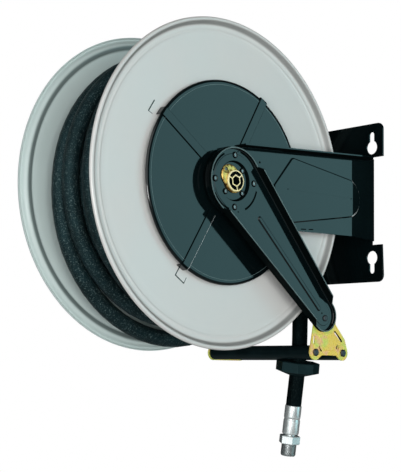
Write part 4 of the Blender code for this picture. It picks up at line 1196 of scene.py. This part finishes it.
# (rise above the flat, inset from the edge), in mm, from the flat outwards
RIM_SHAPE = ((0, 40), (0, 25.5), (0.15, 24), (0.55, 22.6), (0.6, 21.5), (0.5, 20.4),
             (0.1, 19.1), (0, 18), (0, 15.2), (0.25, 13.6), (0.95, 12), (3.0, 9.8),
             (6.2, 8.2), (8.4, 6.6), (9.1, 4.4), (8.6, 2.0), (7.0, 0.6), (4.6, 0.1))


def disc_section(bore, side):
    """Section of a disc; side is +1 or -1 along the axle."""
    s = sizes()
    edge = s.rim_radius
    points = [(s.disc_face + rise * MM, edge - inset * MM, 0) for rise, inset in RIM_SHAPE]
    curve = smooth_line(points, 4)
    line = [(s.disc_face, bore)] + [(p.x, p.y) for p in curve]
    return [(side * x, r) for x, r in sheet_section(line, s.disc_sheet)]


class REEL_OT_discs(bpy.types.Operator):
    """Press the two discs, with their shallow bead and rolled rim."""

    bl_idname = "reel.discs"
    bl_label = "Discs"

    def execute(self, context):
        spun_sheet("near_disc_sheet", disc_section(60 * MM, 1), DISC_STEPS, "disc_grey",
                   "drum", "grey_paint", ["near_disc"], "shaded_seam",
                   cutters=slot_cutters(DISC_MARKS, 88.4 * MM, 90.5 * MM))
        spun_sheet("far_disc_sheet", disc_section(70 * MM, -1), DISC_STEPS,
                   "disc_grey_inner_shaded", "drum", "grey_paint", ["far_disc"])
        return {"FINISHED"}


# Thin ring inside the pan's lip that takes a painted highlight, in mm from its edge
LIP_LINE = (7.9, 8.7)


def pan_section():
    """Section of the pan: flat face, rolled lip and a foot on the disc."""
    s = sizes()
    seat, face, edge, foot = s.disc_face + 0.3 * MM, s.pan_face, s.pan_radius, 158 * MM
    lip = face - 5.4 * MM
    outer = [(seat, foot), (lip, foot), (lip, edge - 1.2 * MM)]
    for k in range(17):
        a, b = polar(4 * MM, 90 - 90 * k / 16)
        outer.append((face - 4 * MM + a, edge - 7.2 * MM + b * 1.8))
    outer += [(face, edge - inset * MM) for inset in LIP_LINE]
    outer += [(face, 38 * MM), (face, 36 * MM), (face - 0.9 * MM, 34.2 * MM),
              (86 * MM, 34.2 * MM), (86 * MM, 36.2 * MM), (face - 1.5 * MM, 36.2 * MM),
              (face - 1.5 * MM, foot - 1.5 * MM), (seat, foot - 1.5 * MM)]
    return outer


# Cut marks in the straps over the pan and in the near disc, whose faces take painted shade,
# (y, z) in mm
STRAP_MARKS = (((-133, 80.1), (-132.6, 79.8), 3.0),)
DISC_MARKS = (((-143.5, 114.2), (-154.8, 96.5), 2.2), ((-154.8, 96.5), (-147.5, 92.8), 1.2),
              ((-87, -141.5), (-95.5, -154.9), 2.0), ((-95.5, -154.9), (-78, -166.7), 2.0),
              ((-78, -166.7), (-73, -158), 1.2))


def mark_lip_line(mesh):
    """Give the thin ring inside the pan's lip the piece's other finish, a painted highlight.
    """
    high, low = (sizes().pan_radius - inset * MM for inset in LIP_LINE)
    for face in mesh.polygons:
        reach = [math.hypot(mesh.vertices[v].co.y - AXLE.y, mesh.vertices[v].co.z)
                 for v in face.vertices]
        if face.normal.x > 0.9 and low - 1e-5 < min(reach) and max(reach) < high + 1e-5:
            face.material_index = 1


def lit_edge(at, way):
    """Whether a strap's face belongs to the long edge that takes a painted highlight."""
    y, z = at.y - AXLE.y, at.z
    side = (way.z * y - way.y * z) / math.hypot(y, z)
    return at.x > 101.0 * MM and side > 0.2 and way.x > 0.2 and y < 0 and z < 0


class REEL_OT_cover(bpy.types.Operator):
    """Make the pan, its four straps and the far lid."""

    bl_idname = "reel.cover"
    bl_label = "Pan and straps"

    def execute(self, context):
        edge = sizes().edge_round
        pan = spun_sheet("spring_pan", pan_section(), PAN_STEPS, "gloss_black", "drum",
                         "black_steel", ["spring_cover"], "painted_highlight_edge")
        mark_lip_line(pan.data)
        names = [f"cover_strap_{i}" for i in range(1, 5)]
        straps = rounded(mesh_from(node_copy(*names), "pan_straps"), 0.7 * MM, 2, 30.0,
                         "pan_straps")
        marks = slot_cutters(STRAP_MARKS, 102.6 * MM, 106 * MM)
        # The straps' sides and cut marks take painted shade, one long edge a painted
        # highlight
        straps = shade_faces(cut(straps, *marks), lambda at, way:
                             at.x > 101 * MM and abs(way.x) < 0.93)
        straps = shade_faces(straps, lit_edge, 2)
        new_piece("pan_straps", flat_shaded(straps), "gloss_black", "drum",
                  "black_steel", names, "painted_shade_black", "painted_highlight_pale")
        polished("far_lid", ["far_cover"], "gloss_black", "drum", "black_steel", edge)
        return {"FINISHED"}


ARM_X = 112.5 * MM
ARM_SHEET = 3 * MM
ARM_FLANGE = 24 * MM
FLANGE_START = 8 * MM
FLANGE_TOP = 60 * MM
FLANGE_SLOPE = 16.5 / 314
FLANGE_SHEET = 2.4 * MM
PANEL_RISE = 2 * MM
HEAD_BORE = 19 * MM
KEYHOLE_X = 107.2 * MM
KEYHOLE_Z = 99 * MM
# The arm's last stretch turns in by a small slope from this line
BEND_FROM_WALL = 61.5 * MM
BEND_SLOPE = 0.036
# Small holes and slots of the fixed arm, whose walls take painted shade, as (y, z) from the
# axle in mm
ARM_HOLES = ((62.3, 38.2, 1.9), (126, 0.6, 1.1), (282.5, -0.4, 1.1))
ARM_SLOTS = (((160, -63.6), (171, -63.1), 1.8), ((179, -62.6), (188.5, -62.1), 1.8))
ARM_CREASE = ((129, 0.4), (280, -0.4))


def wall_plate_outline():
    """(x, z) outline of the wall plate and its two ears."""
    ear_low, ear_high = -76 * MM, 81 * MM
    relief = ARM_X - ARM_SHEET
    w, h, r = 133 * MM, 142 * MM, 12 * MM
    points = [(w, ear_low), (relief, ear_low), (relief, ear_high), (w, ear_high)]
    for start, x, z in ((0, 1, 1), (90, -1, 1), (180, -1, -1), (270, 1, -1)):
        points += arc(x * (w - r), z * (h - r), r, start, start + 90, 10)
    return points


def flat_plate(outline, y0, y1, name):
    """Closed mesh between two planes across Y from (x, z) points."""
    bm = loft((outline, y0), (outline, y1))
    bm.transform(Matrix(((0, 1, 0, 0), (1, 0, 0, 0), (0, 0, 1, 0), (0, 0, 0, 1))))
    return placed(bm, Matrix.Identity(4), name)


def keyhole_cutter(x, z, up):
    """Round hole with a slot above it (up = 1) or below it (up = -1)."""
    big, small, reach = 12.3 * MM, 5.6 * MM, 22.5 * MM
    opening = math.degrees(math.asin(small / big))
    points = arc(0, 0, big, 90 + opening, 450 - opening, 36)
    points += arc(0, reach, small, 0, 180, 16)
    return flat_plate([(x + a, z + up * b) for a, b in points], 5 * MM, -8 * MM, "hole")


def fixed_arm_outline():
    """Fixed arm seen along X, from the wall to its round head."""
    wall = -AXLE.y
    points = [(wall, -69.5 * MM), (wall - 60 * MM, -65.5 * MM), (157 * MM, -67.5 * MM)]
    points += arc(0, 0, 54.5 * MM, 265.7, 92.8, 60)
    points += [(10 * MM, 58 * MM), (322 * MM, 73.5 * MM), (wall, 77 * MM)]
    return points


def arm_panel_outline(inset):
    """Raised panel of the fixed arm, pointed at the head's end."""
    nose = arc(273.8 * MM, 0, 34 * MM - inset, -81.5, 81.5, 28)
    back = [(141 * MM, 54.9 * MM - inset), (138 * MM + 0.6 * inset, 54.6 * MM - inset),
            (134.4 * MM + 1.1 * inset, 53 * MM - 0.8 * inset),
            (93.5 * MM + 1.4 * inset, 4 * MM)]
    return nose + back + [(y, -z) for y, z in reversed(back)]


def top_flange():
    """Strip along the arm's top, rising towards the wall."""
    start, end = FLANGE_START, -AXLE.y - 1 * MM
    rise = FLANGE_SLOPE * (end - start)
    strip = [(start, FLANGE_TOP), (end, FLANGE_TOP + rise),
             (end, FLANGE_TOP + rise - FLANGE_SHEET), (start, FLANGE_TOP - FLANGE_SHEET)]
    return placed(loft((strip, ARM_X - ARM_SHEET), (strip, ARM_X + ARM_FLANGE)))


def flange_trim():
    """Space past the flange's slanted end at the wall, seen from above."""
    wide, near = ARM_X + ARM_FLANGE + 2 * MM, ARM_X + 0.4 * MM
    corner = [(wide, -34 * MM), (wide, 5 * MM), (near, 5 * MM), (near, -6 * MM)]
    bm = loft((corner, 40 * MM), (corner, 80 * MM))
    bm.transform(Matrix(((0, 1, 0, 0), (0, 0, 1, 0), (1, 0, 0, 0), (0, 0, 0, 1))))
    return placed(bm, Matrix.Identity(4))


def bracket_mesh():
    """Folded sheet: wall plate with ears, arm, top flange and raised panel."""
    web_back, rise = ARM_X - ARM_SHEET, PANEL_RISE
    plate = flat_plate(wall_plate_outline(), 0, -ARM_SHEET, "folded_bracket")
    outline = fixed_arm_outline()
    web = placed(loft((outline, web_back), (outline, ARM_X)))
    panel = placed(loft((arm_panel_outline(0), ARM_X - 1 * MM),
                        (arm_panel_outline(0), ARM_X),
                        (arm_panel_outline(rise), ARM_X + rise)))
    hollow = placed(loft((arm_panel_outline(2.4 * MM), web_back - 1 * MM),
                         (arm_panel_outline(4.4 * MM), web_back + rise)))
    cutters = [hollow, flange_trim()]
    for x in (-KEYHOLE_X, KEYHOLE_X):
        cutters += [keyhole_cutter(x, up * KEYHOLE_Z, up) for up in (1, -1)]
    cutters.append(hole_cutter(web_back - 5 * MM, ARM_X + 5 * MM, 0, 0, HEAD_BORE, steps=72))
    return cut(joined(plate, web, top_flange(), panel), *cutters)


def bent_end(mesh):
    """Turn the arm's last stretch slightly, along a crisp line."""
    bm = bmesh.new()
    bm.from_mesh(mesh)
    bmesh.ops.remove_doubles(bm, verts=bm.verts, dist=1e-6)
    bmesh.ops.bisect_plane(bm, geom=bm.verts[:] + bm.edges[:] + bm.faces[:],
                           plane_co=(0, -BEND_FROM_WALL, 0), plane_no=(0, 1, 0))
    for vert in bm.verts:
        past = vert.co.y + BEND_FROM_WALL
        if past > 0 and vert.co.x > ARM_X - ARM_SHEET - 1e-5 and abs(vert.co.z) < 80 * MM:
            vert.co.x -= past * BEND_SLOPE
    return bm


def on_flange_side(at, way):
    """Whether a face is on a side of the arm's top flange, which takes painted shade."""
    return at.x > ARM_X + 1 * MM and abs(way.x) < 0.6 and at.z > 55 * MM


def on_crease(at, way):
    """Whether a face is in the pressed line along the arm's panel, which takes a painted
    highlight.
    """
    return (ARM_X + 1 * MM < at.x < ARM_X + 2.2 * MM and at.y < -60 * MM
            and abs(at.z) < 2 * MM and abs(way.z) > 0.3)


def on_panel_nose(at, way):
    """Whether a face is on the panel's edge past the bend, which takes a painted highlight.
    """
    return (ARM_X - 1.9 * MM < at.x < ARM_X + 2.5 * MM and 0.3 < way.x < 0.95
            and -BEND_FROM_WALL < at.y < -30 * MM and abs(at.z) < 36 * MM)


def on_bend(*ends):
    """Whether an edge lies along the arm's bend."""
    return all(abs(p.y + BEND_FROM_WALL) < 2e-5 and p.x > ARM_X - 1 * MM for p in ends)


class REEL_OT_bracket(bpy.types.Operator):
    """Make the folded wall plate with its fixed arm."""

    bl_idname = "reel.bracket"
    bl_label = "Wall bracket"

    def execute(self, context):
        mesh = mesh_from(bent_end(bracket_mesh()), "folded_bracket_raw", 30.0)
        mesh = rounded(mesh, 0.5 * MM, 2, 30.0, "folded_bracket")
        front, deep = ARM_X + 4 * MM, ARM_X - 1.5 * MM
        cutters = [marked(hole_cutter(deep, front, *mm(hole))) for hole in ARM_HOLES]
        cutters += slot_cutters(ARM_SLOTS, deep, front)
        cutters.append(slot_cutter(ARM_X + 1.7 * MM, front, *map(mm, ARM_CREASE),
                                   0.9 * MM))
        mesh = cut(mesh, *cutters)
        # Painted shade on the flange's sides, painted highlights on the crease and the
        # panel's nose
        for number, test in enumerate((on_flange_side, on_crease, on_panel_nose), 1):
            mesh = shade_faces(mesh, test, number)
        mesh = flat_shaded(mesh, 30.0, on_bend)
        new_piece("folded_bracket", mesh, "gloss_black", "bracket",
                  "black_steel", ["wall_bracket"], "painted_shade_black", "painted_highlight_edge",
                  "painted_highlight_pale")
        return {"FINISHED"}


SWING_X = 117.3 * MM
SWING_SHEET = 2 * MM
SWING_SPAN = 292.5 * MM
SWING_TURN = -45.0
SWING_TOP = 16 * MM
SWING_LIP = 5 * MM
# Stations where the flange rises from the lip and falls back to it
FLANGE_STOPS = (14 * MM, 20 * MM, 275 * MM, 290 * MM)
BEAD_START = 79.5 * MM
BEAD_LENGTH = 197 * MM
# Ring grooves in the head, which take painted shade: middle in degrees, radius in mm
HEAD_GROOVES = ((97, 49.6), (187, 47.4), (277, 47.4), (367, 49.6))
# Small holes of the swing arm along and across it, with radius, in mm; their walls take
# painted shade
SWING_HOLES = ((287.4, 0.3, 1.5), (-29.2, 39.0, 1.3), (40.6, -29.0, 1.3))
HUB_LUG = (25.7 * MM, 0)


def turned_place(degrees):
    """Place on the axle, turned about X."""
    return (Matrix.Translation(AXLE)
            @ Matrix.Rotation(math.radians(degrees), 4, "X"))


def on_swing():
    """Place of the swing arm's own axes: Y along it, Z across it."""
    return turned_place(SWING_TURN)


def flange_height(point):
    """Height of the flange's edge at a point of the arm's outline."""
    rise, full, fall, low = FLANGE_STOPS
    floor = SWING_X + SWING_SHEET
    share = min((point[0] - rise) / (full - rise), (low - point[0]) / (low - fall), 1.0)
    return floor + SWING_LIP + max(share, 0.0) * (SWING_TOP - SWING_LIP)


def swing_outline(inset):
    """Outline of the swing arm, taken in by some distance."""
    return tapered_capsule(54.5 * MM - inset, 27.5 * MM - inset, SWING_SPAN, 30,
                           FLANGE_STOPS)


def ring_part(radius, half, middle, spread):
    """Outline of part of a ring, radius and half width in mm, in degrees."""
    low, high = middle - spread, middle + spread
    return (arc(0, 0, (radius + half) * MM, low, high, 20)
            + arc(0, 0, (radius - half) * MM, high, low, 20))


def swing_arm_mesh():
    """Pressed channel with a stepped floor, a long bead and ring grooves."""
    floor = SWING_X + SWING_SHEET
    edge, t = 1.1 * MM, SWING_SHEET
    outer, inner = swing_outline(0), swing_outline(t)
    levels = [(swing_outline(edge), SWING_X), (outer, SWING_X + edge),
              (outer, flange_height), (inner, flange_height), (inner, floor + 1 * MM),
              (swing_outline(t + 1 * MM), floor), (swing_outline(10.2 * MM), floor),
              (swing_outline(10.9 * MM), floor + 0.5 * MM)]
    mesh = placed(loft(*levels), on_swing(), "pressed_swing_arm")
    bm = loft(*((tapered_capsule(r * MM, r * MM + 1e-7, BEAD_LENGTH, 8), floor + x * MM)
                for r, x in ((4.6, -1), (4.6, 0.4), (2.2, 2.4))))
    bm.transform(Matrix.Translation((0, BEAD_START, 0)))
    mesh = joined(mesh, placed(bm, on_swing()))
    # The bore's wall takes painted shade
    bore = [(arc(0, 0, r * MM, 0, 356.25, 95), x) for r, x in (
        (31.3, SWING_X - 5 * MM), (31.3, SWING_X + 0.2 * MM),
        (32.9, floor + 0.5 * MM), (32.9, floor + 5 * MM))]
    cutters = [marked(placed(loft(*bore), on_swing()))]
    for middle, radius in HEAD_GROOVES:
        narrow = ring_part(radius, 1, middle, 23)
        wide = ring_part(radius, 1.7, middle, 24)
        cutters.append(marked(placed(loft(
            (narrow, floor - 0.9 * MM), (wide, floor + 0.3 * MM),
            (wide, floor + 2 * MM)), on_swing())))
    # The flanges' walls take painted shade
    return shade_faces(cut(mesh, *cutters), lambda at, way:
                       at.x > floor + 0.8 * MM and abs(way.x) < 0.6)


class REEL_OT_swing_arm(bpy.types.Operator):
    """Make the pressed swing arm."""

    bl_idname = "reel.swing_arm"
    bl_label = "Swing arm"

    def execute(self, context):
        floor = SWING_X + SWING_SHEET
        mesh = rounded(tidy_mesh(swing_arm_mesh(), "swing_raw", 28.0), 0.5 * MM, 2, 28.0,
                       "pressed_swing_arm")
        mesh = cut(mesh, *(marked(hole_cutter(floor - 1.5 * MM, floor + 4 * MM, *mm(hole),
                                              on_swing())) for hole in SWING_HOLES))
        # The flanges' top edges take a painted highlight
        mesh = shade_faces(mesh, lambda at, way: at.x > floor + 4 * MM
                           and way.x > 0.75, 2)
        new_piece("pressed_swing_arm", flat_shaded(mesh), "gloss_black", "guide_arm",
                  "black_steel", ["swing_arm"], "painted_shade_black", "painted_highlight_edge")
        return {"FINISHED"}


HEX_ANGLE = 40.0


def plug_mesh():
    """Plastic plug: ring, hexagon and three webs over a hollow thread."""
    front = 123.4 * MM
    profile = ((112, 0), (112, 11.6), (120.6, 11.6), (120.6, 17.3), (122.8, 17.3),
               (123.4, 16.7), (123.4, 0))
    mesh = mesh_from(turned([mm(point) for point in profile], 96), "transport_plug", 30.0)
    # The pockets between ring, hexagon and webs take painted shade
    cutters = [marked(placed(loft(*((arc(0, 0, 7.9 * MM, HEX_ANGLE, HEX_ANGLE + 300, 5), x)
                                    for x in (113.5 * MM, front + 1 * MM)))))]
    ring_r, hex_r, half_web = 15.2 * MM, 10.2 * MM, 1.0 * MM
    for k in range(3):
        start = HEX_ANGLE + 120 * k
        corners = [Vector(polar(hex_r, start + 60 * i)) for i in range(3)]
        share = half_web / (hex_r * math.sin(math.radians(60)))
        swing = math.degrees(math.asin(half_web / ring_r))
        outline = arc(0, 0, ring_r, start + swing, start + 120 - swing, 24)
        outline += [tuple(corners[2].lerp(corners[1], share)), tuple(corners[1]),
                    tuple(corners[0].lerp(corners[1], share))]
        cutters.append(marked(placed(loft((outline, 121.0 * MM),
                                          (outline, front + 1 * MM)))))
    return cut(mesh, *cutters)


def inlet_mesh():
    """Brass swivel: its bore, its sleeve and a broad cast lug."""
    body = ((98.3, 18.7), (117.8, 18.7), (118.5, 17.9), (118.5, 12), (108.3, 12),
            (108.3, 13.9), (104, 13.9), (104, 16.2), (100, 16.2), (100, 13.9), (98.3, 13.9))
    mesh = mesh_from(turned([mm(point) for point in body], 96), "brass_inlet", 30.0)
    turn = turned_place(138.0)
    levels = [(tapered_capsule((19.4 - a) * MM, (17.3 - a) * MM, 13.4 * MM, 20), x * MM)
              for a, x in ((0.6, 117.3), (0, 117.9), (0, 118.6), (1.0, 119.7),
                           (2.6, 120.3))]
    mesh = joined(mesh, placed(loft(*levels), turn))
    boss = [(arc(0, 0, r * MM, 0, 345, 23), x * MM)
            for r, x in ((6.4, 118), (6.4, 120.2), (5.6, 120.9))]
    lift = turn @ Matrix.Translation((0, *HUB_LUG))
    mesh = joined(mesh, placed(loft(*boss), lift))
    # The lug's holes take painted shade
    cutters = [hole_cutter(112 * MM, 125 * MM, 0, 0, 12 * MM, steps=64),
               marked(hole_cutter(112 * MM, 120.0 * MM, 0, 0, 5.4 * MM, lift)),
               marked(hole_cutter(112 * MM, 125 * MM, 0, 0, 3.0 * MM, lift))]
    return cut(mesh, *cutters)


def crescent_cutter():
    """Groove in the hub plate, between two circles that part at one side; its faces take
    painted shade.
    """
    inner = []
    for k in range(57):
        degrees = 112 - 4 * k
        turn = math.radians(degrees)
        reach = math.sqrt(30.2 ** 2 - (3.2 * math.sin(turn)) ** 2)
        inner.append(polar((reach - 3.2 * math.cos(turn)) * MM, degrees))
    outline = arc(0, 0, 31.5 * MM, -112, 112, 56) + inner
    return marked(placed(loft((outline, 115.4 * MM), (outline, 119 * MM))))


class REEL_OT_hub(bpy.types.Operator):
    """Make the hub plate, the brass inlet and its plug."""

    bl_idname = "reel.hub"
    bl_label = "Hub and inlet"

    def execute(self, context):
        disc = mesh_from(node_copy("hub_plate"), "hub_disc")
        disc = cut(rounded(disc, 0.4 * MM, 2, 30.0, "hub_disc"), crescent_cutter())
        new_piece("hub_disc", flat_shaded(disc), "gloss_black", "bracket",
                  "black_steel", ["hub_plate"], "painted_shade_black")
        inlet = rounded(inlet_mesh(), 0.4 * MM, 2, 30.0, "brass_inlet")
        new_piece("brass_inlet", inlet, "turned_brass", "bracket", "brass",
                  ["swivel_body"], "painted_shade_black")
        plug = rounded(plug_mesh(), 0.35 * MM, 2, 30.0, "transport_plug")
        new_piece("transport_plug", plug, "pale_plug", "bracket", "yellow_plastic",
                  ["inlet_plug"], "painted_shade_black")
        return {"FINISHED"}


# Slots (start, end, width) and pressed lines of the guide plate, (y, z) in mm; the slots take
# painted shade
GUIDE_SLOTS = (((238.6, -233.6), (254.4, -248.3), 4.0), ((188.1, -242.6), (187.1, -252.6),
               2.6), ((200.3, -259.8), (205, -266.4), 2.6),
               ((244.5, -256.2), (242.8, -261.4), 2.4))
GUIDE_LINES = (((213, -265.6), (240, -265)), ((208, -271.4), (243, -271.6)))


class REEL_OT_guide(bpy.types.Operator):
    """Make the roller guide's plates and nuts."""

    bl_idname = "reel.guide"
    bl_label = "Roller guide"

    def execute(self, context):
        near = rounded(mesh_from(node_copy("guide_bracket"), "guide_plate"), 0.4 * MM,
                       2, 30.0, "guide_plate")
        cutters = slot_cutters(GUIDE_SLOTS, 115.2 * MM, 121 * MM)
        cutters += [slot_cutter(116.5 * MM, 121 * MM, *map(mm, line), 0.8 * MM)
                    for line in GUIDE_LINES]
        new_piece("guide_plate", flat_shaded(cut(near, *cutters)), "passivated_zinc",
                  "guide_arm", "yellow_zinc", ["guide_bracket"], "painted_shade_black")
        polished("far_plate", ["far_guide_plate"], "passivated_zinc", "guide_arm",
                 "yellow_zinc", 0.4 * MM)
        polished("guide_nuts", ["tip_nut", "shaft_nut_1", "shaft_nut_2"], "screw_steel",
                 "guide_arm", "bolt_steel", 0.4 * MM)
        return {"FINISHED"}


class REEL_OT_rollers(bpy.types.Operator):
    """Make the two long rollers as rounded copies of their solids."""

    bl_idname = "reel.rollers"
    bl_label = "Rollers"

    def execute(self, context):
        for side in ("front", "rear"):
            polished(f"{side}_roller_tube", [f"{side}_roller"], "moulded_black",
                     f"{side}_roller", "black_plastic", 0.4 * MM)
        return {"FINISHED"}


PLAIN_FINISHES = {
    "zinc_plate": ("drum_shell", "spring_case", "ratchet_wheel"),
    # The plated axle and pivot ring take the black paint: painted shade where they sit by the
    # hub
    "gloss_black": ("axle", "pivot_ring"),
    "screw_steel": ("axle_clip", "inlet_clamp", "pawl_pin"),
    "blued_steel": ("tip_screw", "roller_shaft_1", "roller_shaft_2"),
    "spring_strip": ("main_spring",),
    "turned_brass": ("spindle",),
    "moulded_black": ("bush_near", "bush_far", "latch_pawl"),
    "rubber_black": ("inlet_seal", "hose_inlet"),
}


SCREWS = (
    # name, nodes, seat x, ring radius, first angle, head radius, height, body
    ("hub_screws", "hub_screw", 117.3, 25.7, 45, 4.2, 2.6, "bracket"),
    ("pivot_screws", "pivot_screw", 119.6, 42.0, 0, 4.6, 2.6, "guide_arm"),
    ("far_screws", "far_screw", -90.8, 83.0, 45, 4.5, 2.4, "drum"),
)


class REEL_OT_screws(bpy.types.Operator):
    """Set the button-head screws in their rings."""

    bl_idname = "reel.screws"
    bl_label = "Screws"

    def execute(self, context):
        for name, node, seat, ring, first, head, height, body in SCREWS:
            names = [f"{node}_{i}" for i in range(1, 5)]
            boxes = [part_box(n) for n in names]
            low = min(box[0].x for box in boxes)
            high = max(box[1].x for box in boxes)
            facing = 1 if seat > 0 else -1
            shank = (seat * MM - low) if facing > 0 else (high - seat * MM)
            screw = button_screw(head * MM, height * MM, 2.5 * MM, shank, facing)
            mesh = grown(screw, screw_ring_tree, "screw_steel", {
                "Count": 4, "Ring radius": ring * MM,
                "First angle": math.radians(first), "Twist": 0.6,
                "Middle": AXLE + Vector((seat * MM, 0, 0))})
            # Washers and the sides of the heads take painted shade
            mesh = shade_faces(tidy_mesh(mesh, name, 35.0), lambda at, way:
                               abs(at.x) < (abs(seat) + WASHER) * MM + 1e-5
                               or abs(way.x) < 0.84)
            new_piece(name, mesh, "screw_steel", body, "bolt_steel", names,
                      "painted_shade_black")
        return {"FINISHED"}


class REEL_OT_kept_parts(bpy.types.Operator):
    """Give the solids that stay as they are their finishes."""

    bl_idname = "reel.kept_parts"
    bl_label = "Kept parts"

    def execute(self, context):
        for finish, names in PLAIN_FINISHES.items():
            for name in names:
                mesh = NODES[name].data
                mesh.materials.clear()
                mesh.materials.append(finishes()[finish])
        return {"FINISHED"}


OPERATORS = (REEL_OT_camera, REEL_OT_stage, REEL_OT_winding, REEL_OT_hanging_hose,
             REEL_OT_discs, REEL_OT_cover, REEL_OT_bracket, REEL_OT_swing_arm,
             REEL_OT_hub, REEL_OT_screws, REEL_OT_guide, REEL_OT_rollers,
             REEL_OT_kept_parts)


class REEL_PT_panel(bpy.types.Panel):
    """Lists the steps that build the reel's look."""

    bl_idname = "REEL_PT_panel"
    bl_label = "Hose Reel"
    bl_space_type = "VIEW_3D"
    bl_region_type = "UI"
    bl_category = "Hose Reel"

    def draw(self, context):
        column = self.layout.column(align=True)
        for operator in OPERATORS:
            column.operator(operator.bl_idname)
        for group in (context.scene.reel_sizes, context.scene.reel_colours):
            for name in group.__annotations__:
                self.layout.prop(group, name)


CLASSES = (ReelSizes, ReelColours, *OPERATORS, REEL_PT_panel)


def register():
    for cls in CLASSES:
        bpy.utils.register_class(cls)
    bpy.types.Scene.reel_sizes = bpy.props.PointerProperty(type=ReelSizes)
    bpy.types.Scene.reel_colours = bpy.props.PointerProperty(type=ReelColours)


def unregister():
    del bpy.types.Scene.reel_colours
    del bpy.types.Scene.reel_sizes
    for cls in reversed(CLASSES):
        bpy.utils.unregister_class(cls)


def main():
    """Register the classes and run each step."""
    register()
    for operator in OPERATORS:
        group, name = operator.bl_idname.split(".")
        getattr(getattr(bpy.ops, group), name)()


if __name__ == "__main__":
    main()
